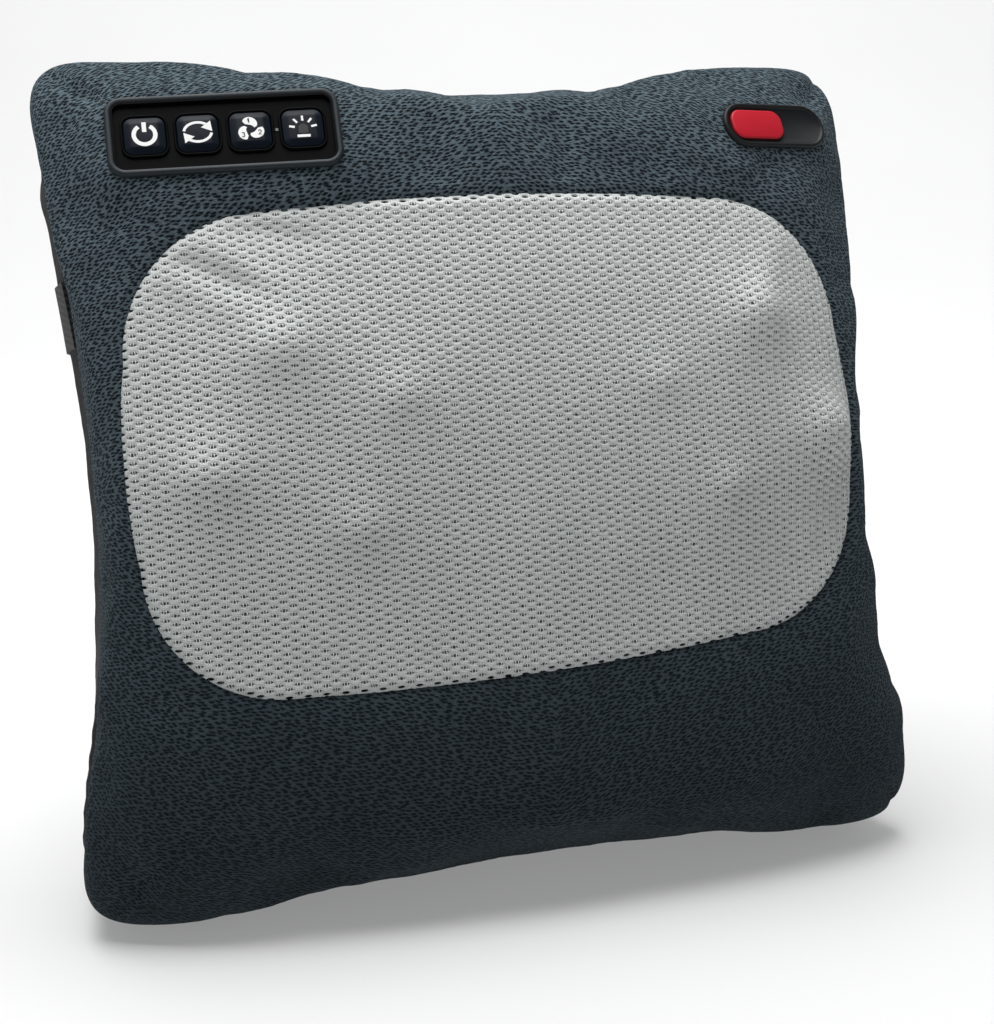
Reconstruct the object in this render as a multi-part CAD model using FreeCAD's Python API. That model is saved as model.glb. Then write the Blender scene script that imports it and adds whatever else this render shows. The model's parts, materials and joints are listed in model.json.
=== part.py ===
import FreeCAD, Part
import math
import os

# Shiatsu massage cushion: a square pillow with two rotating massage heads behind a mesh window.
# It stands on its lower side and leans back. Every piece is built in the cushion's own frame
# (x to the right, y from front to back, z up along the cushion, millimetres, origin in the middle
# of the rim plane) and then leaned back and set on the floor by place_on_floor().

# ---------------------------------------------------------------- driving dimensions
HALF_WIDTH = 165.0          # rim plane, widest point
HALF_HEIGHT = 160.0
FRONT_DEPTH = 58.0          # crown of the front face in front of the rim plane
BACK_DEPTH = 58.0           # back panel behind the rim plane
RIM_CORNER = 20.0           # corner radius of the rim
RIM_SAG = 11.0              # how far the middle of the top and bottom pulls in
SIDE_SAG = 15.0             # how far the middle of the left and right side pulls in
SAG_END = 0.68              # share of the crown's depth where the pulling in ends
CROWN_POWER = 0.30          # shape of the crown: 0 a box, 1 a soft dome
CORNER_POWER = 18.0         # how little the crown rounds off towards the corners
LEAN_DEG = 14.5             # lean of the standing cushion
FLOOR_BITE = 1.6            # how far the fabric flattens where it stands
COVER = 3.0                 # padded cover thickness
MESH = 2.5                  # air mesh thickness
FOAM_GAP = 0.4              # between cover and foam
SEAM_Y = 30.0               # seam between front cover and back cover
CROWN_LEVELS = (0.0, 0.08, 0.18, 0.30, 0.42, 0.54, 0.62, 0.69, 0.75, 0.84, 0.91, 0.96)

WINDOW_HALF_W = 136.0
WINDOW_HALF_H = 82.0
WINDOW_CORNER = 48.0
WINDOW_BULGE = 4.5
WINDOW_X, WINDOW_Z = -3.4, 10.0
WINDOW_EDGE_GAP = 0.15

HEAD_X = 82.0               # massage heads left and right of the middle
HEAD_Z = 15.0
NODE_CIRCLE = 34.0          # radius of the circle that the massage nodes run on
NODE_RADIUS = 18.0
NODE_TIP_Y = -43.5
NODE_BACK_Y = -16.2
POST_RADIUS = 4.0
POST_BORE = 4.08
LEFT_PHASE_DEG = 19.5       # first node of each head, turned outwards or inwards from straight up
RIGHT_PHASE_DEG = 14.5
ARM_FRONT_Y = -15.0
ARM_BACK_Y = -10.0

SHAFT_Y = 15.0              # drive shaft, behind the arms
WORM_PITCH_R = 5.0
WHEEL_TEETH = 54
GEAR_MODULE = 1.0
WHEEL_FACE = 10.0
TOOTH_THINNING = 0.34       # total backlash of the worm drive
WHEEL_PITCH_R = GEAR_MODULE * WHEEL_TEETH / 2
SHAFT_Z = HEAD_Z + WHEEL_PITCH_R + WORM_PITCH_R
AXIAL_PITCH = math.pi * GEAR_MODULE

HOUSING_HALF_W = 130.0
HOUSING_HALF_H = 60.0
HOUSING_CORNER = 16.0
HOUSING_WALL = 2.5
HOUSING_SPLIT_Y = -5.0
HOUSING_FRONT_Y = -8.0
HOUSING_BACK_Y = 45.0

PANEL_X, PANEL_Z = -100.0, 122.5
PANEL_W, PANEL_H, PANEL_CORNER = 82.0, 30.4, 6.0
PANEL_UP_DEG, PANEL_SIDE_DEG = 18.0, 10.0
PANEL_PROUD = 1.2
PANEL_DEPTH = 15.0
BUTTON_PITCH = 18.5
BUTTON_SIDE = 14.6
BUTTON_CORNER = 3.2
BUTTON_TRAVEL = 1.0
KEYPAD_PLUG_X, KEYPAD_PLUG_Y = 26.0, 12.85
BUTTON_NAMES = ("power_button", "direction_button", "speed_button", "light_button")

BADGE_X, BADGE_Z = 117.5, 122.5
BADGE_W, BADGE_H = 48.0, 18.5
BADGE_UP_DEG, BADGE_SIDE_DEG = 17.0, -11.0
BADGE_PROUD = 1.0

STRAP_Z, STRAP_W, STRAP_T = 70.0, 25.0, 1.6
ZIP_Z, ZIP_X0, ZIP_X1 = -85.0, -105.0, 75.0
INLET_X, INLET_Z = 112.0, -112.0

MOTOR_R, MOTOR_HALF = 17.9, 28.5
MOTOR_SHAFT_R, WORM_SHAFT_R = 2.5, 3.0

Vector = FreeCAD.Vector
LEAN = math.radians(LEAN_DEG)
parts = {}


# ---------------------------------------------------------------- plain shapes
def box(x0, x1, y0, y1, z0, z1):
    return Part.makeBox(x1 - x0, y1 - y0, z1 - z0, Vector(x0, y0, z0))


def disc(radius, y0, y1, x=0.0, z=0.0):
    """Cylinder along the depth axis."""
    return Part.makeCylinder(radius, y1 - y0, Vector(x, y0, z), Vector(0, 1, 0))


def rod(radius, x0, x1, y=SHAFT_Y, z=SHAFT_Z):
    """Cylinder along the width axis."""
    return Part.makeCylinder(radius, x1 - x0, Vector(x0, y, z), Vector(1, 0, 0))


def ring(outer, inner, y0, y1, x=0.0, z=0.0):
    return disc(outer, y0, y1, x, z).cut(disc(inner, y0 - 1, y1 + 1, x, z))


def joined(shapes):
    shapes = list(shapes)
    return shapes[0].multiFuse(shapes[1:]).removeSplitter()


def group(shapes):
    return Part.makeCompound(list(shapes))


def mirrored(shape):
    return shape.mirror(Vector(0, 0, 0), Vector(1, 0, 0))


def outline(half_w, half_h, corner, sags, depth, z_mid=0.0):
    """Closed wire at one depth: four shallow arcs, hollow for a positive sag, and round corners.

    sags holds the pull of the sides, of the top and of the bottom.
    """
    sag_side, sag_top, sag_bottom = sags
    mid_x, mid_z = half_w - corner, half_h - corner

    def tangent(reach, across, pull):
        """Offset from a corner centre to its tangent point with the side arc, (along, outward)."""
        both = (across ** 2 + pull ** 2) / (2 * pull)
        return corner * (-across) / both, corner * (both - pull) / both

    def corner_point(sx, sz, dx, dz):
        length = math.hypot(dx, dz)
        x = sx * (mid_x + dx / length * corner)
        z = sz * (mid_z + dz / length * corner)
        return Vector(x, depth, z_mid + z)

    edges = []
    side_along, side_out = tangent(half_w, mid_z, sag_side)
    quarter = []
    for sx, sz in ((1, 1), (-1, 1), (-1, -1), (1, -1)):
        pull = sag_top if sz > 0 else sag_bottom
        along, out = tangent(half_h, mid_x, pull)
        on_side = (side_out, side_along)
        on_level = (along, out)
        middle = (on_side[0] + on_level[0], on_side[1] + on_level[1])
        quarter.append([corner_point(sx, sz, *p) for p in (on_side, middle, on_level)])
    high_right, high_left, low_left, low_right = quarter
    top = Vector(0, depth, z_mid + half_h - sag_top)
    bottom = Vector(0, depth, z_mid - half_h + sag_bottom)
    right = Vector(half_w - sag_side, depth, z_mid)
    left = Vector(-half_w + sag_side, depth, z_mid)
    path = high_right + [top] + high_left[::-1] + [left] + low_left + [bottom] + low_right[::-1] + [right]
    for index in range(0, len(path), 2):
        ends = path[index], path[(index + 2) % len(path)]
        edges.append(Part.Arc(ends[0], path[index + 1], ends[1]).toShape())
    return Part.Wire(edges)


def prism(wire, depth):
    return Part.Face(wire).extrude(Vector(0, depth, 0))


def rounded_box(x0, x1, y0, y1, z0, z1, corner):
    block = box(x0, x1, y0, y1, z0, z1)
    edges = [e for e in block.Edges if abs(e.tangentAt(e.FirstParameter).y) > 0.99]
    return block.makeFillet(corner, edges)


def window_prism(grow, y0, y1):
    half_w, half_h = WINDOW_HALF_W + grow, WINDOW_HALF_H + grow
    wire = outline(half_w, half_h, WINDOW_CORNER + grow, [-WINDOW_BULGE] * 3, y0, WINDOW_Z)
    wire.translate(Vector(WINDOW_X, 0, 0))
    return prism(wire, y1 - y0)


def housing_block(grow, y0, y1):
    half_w, half_h = HOUSING_HALF_W + grow, HOUSING_HALF_H + grow
    return rounded_box(-half_w, half_w, y0, y1, HEAD_Z - half_h, HEAD_Z + half_h, HOUSING_CORNER + grow)


# ---------------------------------------------------------------- cushion form
def crown_depth(x, z):
    """How far the front face stands in front of the rim plane; the corners are pulled in."""
    across, up = abs(x) / HALF_WIDTH, abs(z) / HALF_HEIGHT
    pull = (across ** CORNER_POWER + up ** CORNER_POWER) ** (1 / CORNER_POWER) / max(across, up)
    fall = (1 - (across * pull) ** 2) * (1 - (up * pull) ** 2)
    return FRONT_DEPTH * fall ** CROWN_POWER


def crown(inset):
    """Solid of the front half, from the seam forwards, drawn in by a wall thickness."""
    taper = SEAM_Y * math.tan(LEAN) + inset
    rim_sags = (SIDE_SAG, RIM_SAG, RIM_SAG)
    wires = [outline(HALF_WIDTH - taper, HALF_HEIGHT - taper, RIM_CORNER, rim_sags, SEAM_Y)]
    for level in CROWN_LEVELS:
        spread = level ** (1 / CROWN_POWER)
        edge = math.sqrt(1 - spread)
        diagonal = math.sqrt(1 - math.sqrt(spread))
        half_w, half_h = HALF_WIDTH * edge - inset, HALF_HEIGHT * edge - inset
        corner = RIM_CORNER + (edge - diagonal) * HALF_WIDTH / (1 - math.sqrt(0.5))
        corner = min(corner, 0.82 * half_h)
        left_over = 1 - (level / SAG_END) ** 4
        least = -0.12 * (half_h - corner)
        side, end = max(SIDE_SAG * left_over, least), max(RIM_SAG * left_over, least)
        wires.append(outline(half_w, half_h, corner, (side, end, end), -level * (FRONT_DEPTH - inset)))
    return Part.makeLoft(wires, True, True)


def back_form(grow):
    """Solid of the back half, from the seam backwards; grow is an outward offset."""
    wires = []
    wall_end, round_in = 46.0, 12.0
    stations = [(SEAM_Y, 0.0), ((SEAM_Y + wall_end) / 2, 0.0), (wall_end, 0.0)]
    for turn in (18, 36, 54, 72, 90):
        angle = math.radians(turn)
        depth = wall_end + round_in * math.sin(angle)
        stations.append((depth, round_in * (1 - math.cos(angle))))
    for depth, rounding in stations:
        taper = min(depth, wall_end) * math.tan(LEAN) + rounding
        blend = min(1.0, (depth - SEAM_Y) / (wall_end - SEAM_Y))
        sags = (SIDE_SAG - 5.5 * blend, RIM_SAG - 5.0 * blend, RIM_SAG - 10.4 * blend)
        scale = (BACK_DEPTH + grow) / BACK_DEPTH
        y = SEAM_Y + (depth - SEAM_Y) * scale
        corner = RIM_CORNER + 12.0 * blend
        half_w, half_h = HALF_WIDTH - taper + grow, HALF_HEIGHT - taper + grow
        wires.append(outline(half_w, half_h, corner, sags, y))
    return Part.makeLoft(wires, True, True)


def below_floor():
    """Everything under the floor plane, in the cushion's frame."""
    slab = box(-400, 400, -400, 400, -300, 0)
    slab.rotate(Vector(0, 0, 0), Vector(1, 0, 0), LEAN_DEG)
    slab.translate(Vector(0, 0, -HALF_HEIGHT + FLOOR_BITE))
    return slab


def on_face(x, z, up_deg, side_deg, proud):
    """Placement whose y axis points into the crown at one place of the front face."""
    turn = FreeCAD.Rotation(Vector(0, 0, 1), -side_deg).multiply(FreeCAD.Rotation(Vector(1, 0, 0), -up_deg))
    inward = turn.multVec(Vector(0, 1, 0))
    origin = Vector(x, -crown_depth(x, z), z) - inward * proud
    return FreeCAD.Placement(origin, turn)


PANEL_PLACE = on_face(PANEL_X, PANEL_Z, PANEL_UP_DEG, PANEL_SIDE_DEG, PANEL_PROUD)
BADGE_PLACE = on_face(BADGE_X, BADGE_Z, BADGE_UP_DEG, BADGE_SIDE_DEG, BADGE_PROUD)


def placed(shape, placement):
    moved = shape.copy()
    moved.Placement = placement.multiply(moved.Placement)
    return moved


# ---------------------------------------------------------------- cables
def cable(points, radius):
    """Round tube along straight runs joined by the largest tangent arcs that the runs allow."""
    points = [Vector(*p) for p in points]
    edges = []
    start = points[0]
    for before, here, after in zip(points, points[1:], points[2:]):
        into = (here - before).normalize()
        out = (after - here).normalize()
        half_turn = math.acos(max(-1.0, min(1.0, into.dot(out)))) / 2
        cut = 0.45 * min((here - before).Length, (after - here).Length)
        bend = cut / math.tan(half_turn)
        centre_way = (out - into).normalize()
        centre = here + centre_way * (bend / math.cos(half_turn))
        first, last = here - into * cut, here + out * cut
        middle = centre - centre_way * bend
        edges.append(Part.LineSegment(start, first).toShape())
        edges.append(Part.Arc(first, middle, last).toShape())
        start = last
    edges.append(Part.LineSegment(start, points[-1]).toShape())
    path = Part.Wire(edges)
    section = Part.Wire(Part.makeCircle(radius, points[0], points[1] - points[0]))
    tube = path.makePipe(Part.Face(section))
    expected = math.pi * radius ** 2 * path.Length
    print("cable length %.0f mm, volume ratio %.3f" % (path.Length, tube.Volume / expected))
    return tube


# ---------------------------------------------------------------- covers and foam
def make_covers():
    floor = below_floor()
    outer, inner = crown(0.0), crown(COVER)
    shell = outer.cut(inner)
    shell = shell.cut(floor)
    pocket = placed(rounded_box(-PANEL_W / 2 - 0.4, PANEL_W / 2 + 0.4, -12, PANEL_DEPTH + 2,
                                -PANEL_H / 2 - 0.4, PANEL_H / 2 + 0.4, PANEL_CORNER + 0.4), PANEL_PLACE)
    badge_pocket = placed(capsule(BADGE_W + 0.6, BADGE_H + 0.6, -12, 6.5), BADGE_PLACE)
    knit = shell.cut(window_prism(0.0, -80, 0)).cut(pocket).cut(badge_pocket)
    parts["front_cover"] = largest_solid(knit)

    mesh_shell = outer.cut(crown(MESH))
    parts["mesh_window"] = largest_solid(mesh_shell.common(window_prism(-WINDOW_EDGE_GAP, -80, 0)))

    inlet_hole = disc(6.2, 40, 70, INLET_X, INLET_Z)
    back = back_form(0.0).cut(back_form(-COVER)).cut(floor).cut(inlet_hole)
    parts["back_cover"] = largest_solid(back)

    gap = COVER + FOAM_GAP
    bay_y = HOUSING_FRONT_Y - 1.0
    bay = [window_prism(-4.5, -80, bay_y), housing_block(0.6, bay_y - 1.0, SEAM_Y + 2)]
    bay += [disc(NODE_CIRCLE + NODE_RADIUS + 2.5, -80, bay_y, x, HEAD_Z) for x in (-HEAD_X, HEAD_X)]
    foam = crown(gap).cut([box(-300, 300, SEAM_Y - 0.15, SEAM_Y + 5, -300, 300)] + bay)
    foam = foam.cut([pocket, badge_pocket, keypad_cable_shape(2.3), inlet_lead_shape(2.8)])
    parts["foam_front"] = largest_solid(foam)

    foam = back_form(-gap).cut([box(-300, 300, SEAM_Y - 5, SEAM_Y + 0.15, -300, 300),
                                housing_block(0.6, SEAM_Y - 10, HOUSING_BACK_Y + 0.6),
                                disc(9.5, 38, 70, INLET_X, INLET_Z)])
    foam = foam.cut([keypad_cable_shape(2.3), inlet_lead_shape(2.8)])
    parts["foam_back"] = largest_solid(foam)


def largest_solid(shape):
    return max(shape.Solids, key=lambda solid: solid.Volume)


def capsule(width, height, y0, y1):
    straight = (width - height) / 2
    ends = [disc(height / 2, y0, y1, side * straight, 0) for side in (-1, 1)]
    return joined([box(-straight, straight, y0, y1, -height / 2, height / 2)] + ends)


# ---------------------------------------------------------------- control panel and badge
def button_x(index):
    return (index - 1.5) * BUTTON_PITCH


def make_panel():
    half_w, half_h = PANEL_W / 2, PANEL_H / 2
    rim_high, plate = -1.4, 2.0
    bezel = rounded_box(-half_w, half_w, rim_high, plate, -half_h, half_h, PANEL_CORNER)
    in_w, in_h = half_w - 2.6, half_h - 2.6
    bezel = bezel.cut(rounded_box(-in_w, in_w, rim_high - 1, 0, -in_h, in_h, 3.2))
    hole = BUTTON_SIDE / 2 + 0.3
    for index in range(len(BUTTON_NAMES)):
        x = button_x(index)
        lip = hole + 0.7
        collar = rounded_box(x - lip, x + lip, -0.7, 0.1, -lip, lip, BUTTON_CORNER + 1)
        bezel = bezel.fuse(collar)
    for index in range(len(BUTTON_NAMES)):
        x = button_x(index)
        bezel = bezel.cut(rounded_box(x - hole, x + hole, -3, 3, -hole, hole, BUTTON_CORNER + 0.3))
    lens_x = button_x(2) + BUTTON_PITCH / 2
    bezel = bezel.cut(disc(0.65, -3, 3, lens_x, 0))
    parts["panel_bezel"] = placed(bezel, PANEL_PLACE)

    tray = rounded_box(-half_w, half_w, plate + 0.02, PANEL_DEPTH, -half_h, half_h, PANEL_CORNER)
    tray = tray.cut(rounded_box(-half_w + 1.8, half_w - 1.8, plate - 1, PANEL_DEPTH - 1.8,
                                -half_h + 1.8, half_h - 1.8, 3.7))
    for x in (-34.0, 34.0):
        tray = tray.fuse(box(x - 2, x + 2, 11.65, PANEL_DEPTH - 1, -10, 10))
    tray = tray.cut(disc(2.4, 12, 18, KEYPAD_PLUG_X, 0))
    parts["panel_tray"] = placed(tray, PANEL_PLACE)

    switches = []
    for index, name in enumerate(BUTTON_NAMES):
        x = button_x(index)
        half = BUTTON_SIDE / 2
        cap = rounded_box(x - half, x + half, -1.5, 2.2, -half, half, BUTTON_CORNER)
        rim_edges = [e for e in cap.Edges if abs(e.CenterOfMass.y + 1.5) < 0.01]
        cap = cap.makeChamfer(0.7, rim_edges)
        flange = rounded_box(x - half - 0.9, x + half + 0.9, 2.2, 3.2, -half - 0.9, half + 0.9, BUTTON_CORNER)
        button = joined([cap, flange, disc(2.0, 3.1, 5.2, x, 0)])
        parts[name] = placed(button, PANEL_PLACE)
        switch = joined([box(x - 3, x + 3, 6.8, 9.98, -3, 3), disc(1.6, 6.4, 7.0, x, 0)])
        switches.append(placed(switch, PANEL_PLACE))
    parts["tact_switches"] = group(switches)

    board = box(-38, 38, 10, 11.6, -12, 12)
    board = board.fuse(box(KEYPAD_PLUG_X - 3.5, KEYPAD_PLUG_X + 3.5, 11.5, KEYPAD_PLUG_Y - 0.2, -3, 3))
    parts["keypad_board"] = placed(board, PANEL_PLACE)
    parts["indicator_lens"] = placed(disc(0.6, -0.3, 6.0, lens_x, 0), PANEL_PLACE)


def make_badge():
    base = capsule(BADGE_W, BADGE_H, -0.6, 5.0)
    base = base.cut(capsule(BADGE_W - 3.2, BADGE_H - 3.2, -2, 0.0))
    seat = (-BADGE_W / 2 + 3.4, -BADGE_W / 2 + 27.4)
    inset = rounded_box(seat[0], seat[1], -2, 0.8, -5.9, 5.9, 4.2)
    parts["badge_base"] = placed(base.cut(inset), BADGE_PLACE)
    inlay = rounded_box(seat[0] + 0.1, seat[1] - 0.1, -0.7, 0.78, -5.8, 5.8, 4.1)
    parts["badge_inlay"] = placed(inlay, BADGE_PLACE)


# ---------------------------------------------------------------- drive
def gear_wire(teeth, module, thinning, y, turn):
    """Outline of a gear with straight-flanked teeth shaped to suit a worm."""
    pitch_r = teeth * module / 2
    tip_r, root_r = pitch_r + 0.92 * module, pitch_r - 1.22 * module
    half_pitch = (math.pi * module / 2 - thinning) / 2 / pitch_r
    lean_in = math.tan(math.radians(20.0))
    tip_half = half_pitch - (tip_r - pitch_r) * lean_in / pitch_r
    root_half = half_pitch + (pitch_r - root_r) * lean_in / pitch_r
    corners = []
    for tooth in range(teeth):
        middle = 2 * math.pi * tooth / teeth + turn
        flank = ((root_r, -root_half), (tip_r, -tip_half), (tip_r, tip_half), (root_r, root_half))
        for radius, offset in flank:
            angle = middle + offset
            corners.append(Vector(radius * math.sin(angle), y, radius * math.cos(angle)))
    return Part.makePolygon(corners + corners[:1])


def worm_wheel():
    """Left wheel: toothed ring, web and the hub that carries the arm, about the head's own axis."""
    half_twist = WHEEL_FACE / 2 * AXIAL_PITCH / (2 * math.pi * WORM_PITCH_R) / WHEEL_PITCH_R
    y0, y1 = SHAFT_Y - WHEEL_FACE / 2, SHAFT_Y + WHEEL_FACE / 2
    phase = math.pi / WHEEL_TEETH
    ends = [gear_wire(WHEEL_TEETH, GEAR_MODULE, TOOTH_THINNING, y, phase + side * half_twist)
            for y, side in ((y0, -1), (y1, 1))]
    toothed = Part.makeLoft(ends, True, True)
    wheel = toothed.cut(ring(20.0, 12.0, y0 - 1, y0 + 2.5)).cut(ring(20.0, 12.5, y1 - 2.5, y1 + 1))
    wheel = wheel.fuse(disc(13.0, ARM_BACK_Y, y0 + 3))
    wheel = wheel.cut(disc(7.08, -30, 40))
    for turn in range(3):
        wheel = wheel.cut(disc(1.55, ARM_BACK_Y - 1, ARM_BACK_Y + 13, *around(10.0, 120.0 * turn)))
    return wheel


def around(radius, degrees):
    """Place on a circle, measured from straight up towards +x."""
    angle = math.radians(degrees)
    return radius * math.sin(angle), radius * math.cos(angle)


def massage_arm(phase):
    """Four-armed carrier with a snap post for each massage node."""
    pieces = [disc(15.0, ARM_FRONT_Y, ARM_BACK_Y - 0.02)]
    for turn in range(4):
        degrees = phase + 90.0 * turn
        spoke = box(-6.5, 6.5, ARM_FRONT_Y, ARM_BACK_Y - 0.02, 8, NODE_CIRCLE)
        spoke.rotate(Vector(0, 0, 0), Vector(0, 1, 0), degrees)
        x, z = around(NODE_CIRCLE, degrees)
        pieces += [spoke, disc(9.0, ARM_FRONT_Y, ARM_BACK_Y - 0.02, x, z)]
        pieces.append(disc(POST_RADIUS, -33, ARM_FRONT_Y + 1, x, z))
        pieces.append(disc(POST_RADIUS + 0.6, -31.5, -30.2, x, z))
    arm = joined(pieces).cut(disc(7.3, -40, 0))
    for turn in range(3):
        arm = arm.cut(disc(1.6, -20, 0, *around(10.0, 120.0 * turn)))
    return arm


def massage_node():
    """Domed roller with a blind bore that snaps over the arm's post."""
    centre_y = NODE_TIP_Y + NODE_RADIUS
    back_r = 14.5
    tip = Vector(0, NODE_TIP_Y, 0)
    widest = Vector(NODE_RADIUS, centre_y, 0)
    between = Vector(NODE_RADIUS * math.sqrt(0.5), centre_y - NODE_RADIUS * math.sqrt(0.5), 0)
    foot = Vector(back_r, NODE_BACK_Y, 0)
    bulge = Vector(NODE_RADIUS - 0.9, centre_y + 5.5, 0)
    profile = Part.Wire([
        Part.Arc(tip, between, widest).toShape(),
        Part.Arc(widest, bulge, foot).toShape(),
        Part.LineSegment(foot, Vector(0, NODE_BACK_Y, 0)).toShape(),
        Part.LineSegment(Vector(0, NODE_BACK_Y, 0), tip).toShape()])
    body = Part.Face(profile).revolve(Vector(0, 0, 0), Vector(0, 1, 0), 360)
    body = body.cut(disc(POST_BORE, -34.0, 0)).cut(disc(POST_RADIUS + 0.95, -32.0, -29.7))
    return body


def worm_shaft():
    """Left worm shaft with a right-hand thread, on its own axis in place."""
    length = 26.0
    x0 = -HEAD_X - length / 2
    root_r, tip_r = WORM_PITCH_R - 1.18 * GEAR_MODULE, WORM_PITCH_R + 0.95 * GEAR_MODULE
    core = rod(root_r, x0 - 1.0, x0 + length + 1.0, 0, 0)
    half = (AXIAL_PITCH / 2) / 2
    lean_in = math.tan(math.radians(20.0))
    buried = 0.3
    base_r = root_r - buried
    base_half = half + (WORM_PITCH_R - base_r) * lean_in
    tip_half = half - (tip_r - WORM_PITCH_R) * lean_in
    turns = 2 * round(length / AXIAL_PITCH / 2) + 2     # even, so that a thread faces the wheel's gap
    start = -turns * AXIAL_PITCH / 2
    helix = Part.makeLongHelix(AXIAL_PITCH, turns * AXIAL_PITCH, WORM_PITCH_R)
    helix.translate(Vector(0, 0, start))
    section = Part.makePolygon([Vector(base_r, 0, start - base_half), Vector(tip_r, 0, start - tip_half),
                                Vector(tip_r, 0, start + tip_half), Vector(base_r, 0, start + base_half),
                                Vector(base_r, 0, start - base_half)])
    thread = Part.Wire(helix).makePipeShell([section], True, True)
    thread = thread.common(Part.makeCylinder(tip_r + 1, length, Vector(0, 0, -length / 2)))
    thread.rotate(Vector(0, 0, 0), Vector(0, 1, 0), 90)
    thread.translate(Vector(-HEAD_X, 0, 0))
    worm = core.fuse(thread)
    thin = rod(WORM_SHAFT_R, -122.5, -43.0, 0, 0)
    worm = worm.fuse(thin)
    return worm


def make_drive():
    left_shaft = worm_shaft()
    left_shaft.translate(Vector(0, SHAFT_Y, SHAFT_Z))
    parts["worm_shaft_left"] = left_shaft
    parts["worm_shaft_right"] = mirrored(left_shaft)

    left_wheel = worm_wheel()
    left_wheel.translate(Vector(-HEAD_X, 0, HEAD_Z))
    parts["worm_wheel_left"] = left_wheel
    parts["worm_wheel_right"] = mirrored(left_wheel)

    node = massage_node()
    screw = joined([disc(2.6, -17.0, ARM_FRONT_Y), disc(1.5, -17.0, ARM_BACK_Y + 8)])
    screw = screw.cut(disc(1.2, -17.5, -16.0))
    for side, sign, phase in (("left", -1, -LEFT_PHASE_DEG), ("right", 1, RIGHT_PHASE_DEG)):
        arm = massage_arm(phase)
        for turn in range(4):
            x, z = around(NODE_CIRCLE, phase + 90.0 * turn)
            copy = node.copy()
            copy.translate(Vector(sign * HEAD_X + x, 0, HEAD_Z + z))
            parts["massage_node_%s_%d" % (side, turn + 1)] = copy
        arm.translate(Vector(sign * HEAD_X, 0, HEAD_Z))
        parts["massage_arm_%s" % side] = arm
        screws = []
        for turn in range(3):
            x, z = around(10.0, sign * 120.0 * turn)
            copy = screw.copy()
            copy.translate(Vector(sign * HEAD_X + x, 0, HEAD_Z + z))
            screws.append(copy)
        parts["arm_screws_%s" % side] = group(screws)

    sleeve = rod(5.5, 36.0, 51.0)
    sleeve = sleeve.cut([rod(MOTOR_SHAFT_R + 0.03, 35, 42.5), rod(WORM_SHAFT_R + 0.03, 42.5, 52)])
    parts["shaft_coupling_right"] = sleeve
    parts["shaft_coupling_left"] = mirrored(sleeve)
    bushes = []
    for x0 in (56.0, 117.0):
        bush = rod(5.0, x0, x0 + 5.0).fuse(rod(6.2, x0 + 4.2, x0 + 5.0))
        bush = bush.cut(rod(WORM_SHAFT_R + 0.06, x0 - 1, x0 + 6))
        bushes += [bush, mirrored(bush)]
    parts["shaft_bushes"] = group(bushes)


def make_motor():
    can = rod(MOTOR_R, -MOTOR_HALF, 26.0).cut(rod(MOTOR_R - 1.0, -MOTOR_HALF + 1.0, 27.0))
    can = can.fuse(rod(5.0, -MOTOR_HALF - 2.5, -MOTOR_HALF + 0.5)).cut(rod(MOTOR_SHAFT_R + 0.06, -40, 0))
    for z in (SHAFT_Z - 9.0, SHAFT_Z + 9.0):
        can = can.cut(rod(2.5, -MOTOR_HALF - 1, -MOTOR_HALF + 2, SHAFT_Y, z))
    parts["motor_can"] = can
    cap = rod(MOTOR_R, 26.02, MOTOR_HALF)
    cap = cap.fuse([rod(MOTOR_R - 1.2, 24.0, 27.0), rod(5.0, 28.0, MOTOR_HALF + 2.5)])
    cap = cap.cut(rod(MOTOR_SHAFT_R + 0.06, 20, 40)).cut(rod(12.0, 23, 26.5))
    tabs = [box(28.0, 31.0, SHAFT_Y + y - 2, SHAFT_Y + y + 2, SHAFT_Z - 11.2, SHAFT_Z - 10.4) for y in (0, 8)]
    cap = cap.fuse(joined(tabs))
    parts["motor_end_cap"] = cap
    shaft = rod(MOTOR_SHAFT_R, -42.0, 42.0)
    core = rod(13.5, -17.0, 13.0)
    slots = []
    for turn in range(5):
        angle = math.radians(72.0 * turn)
        slots.append(rod(2.4, -18, 14, SHAFT_Y + 13.2 * math.cos(angle), SHAFT_Z + 13.2 * math.sin(angle)))
    parts["motor_armature"] = joined([shaft, core.cut(slots), rod(5.0, 14.5, 21.0)])

    clamp = rod(MOTOR_R + 1.4, -6, 6).cut(rod(MOTOR_R + 0.15, -7, 7)).cut(box(-8, 8, SHAFT_Y, 60, 0, 90))
    feet = [box(-6, 6, SHAFT_Y - 2.4, SHAFT_Y - 0.02, z - 3.4, z + 3.4)
            for z in (SHAFT_Z - 22.1, SHAFT_Z + 22.1)]
    clamp = joined([clamp] + feet).cut(rod(MOTOR_R + 0.15, -7, 7))
    screws = []
    for side in (-1, 1):
        z = SHAFT_Z + side * 22.3
        clamp = clamp.cut(disc(1.65, -20, 30, 0, z))
        screws.append(machine_screw(2.7, 1.5, SHAFT_Y - 4.3, SHAFT_Y - 2.42, SHAFT_Y + 8, 0, z))
    parts["motor_clamp"] = clamp
    parts["clamp_screws"] = group(screws)


def machine_screw(head_r, shank_r, head_y, seat_y, end_y, x, z):
    screw = joined([disc(head_r, head_y, seat_y, x, z), disc(shank_r, head_y, end_y, x, z)])
    slot = joined([box(x - 0.35, x + 0.35, head_y - 1, head_y + 0.9, z - 1.6, z + 1.6),
                   box(x - 1.6, x + 1.6, head_y - 1, head_y + 0.9, z - 0.35, z + 0.35)])
    return screw.cut(slot)


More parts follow.
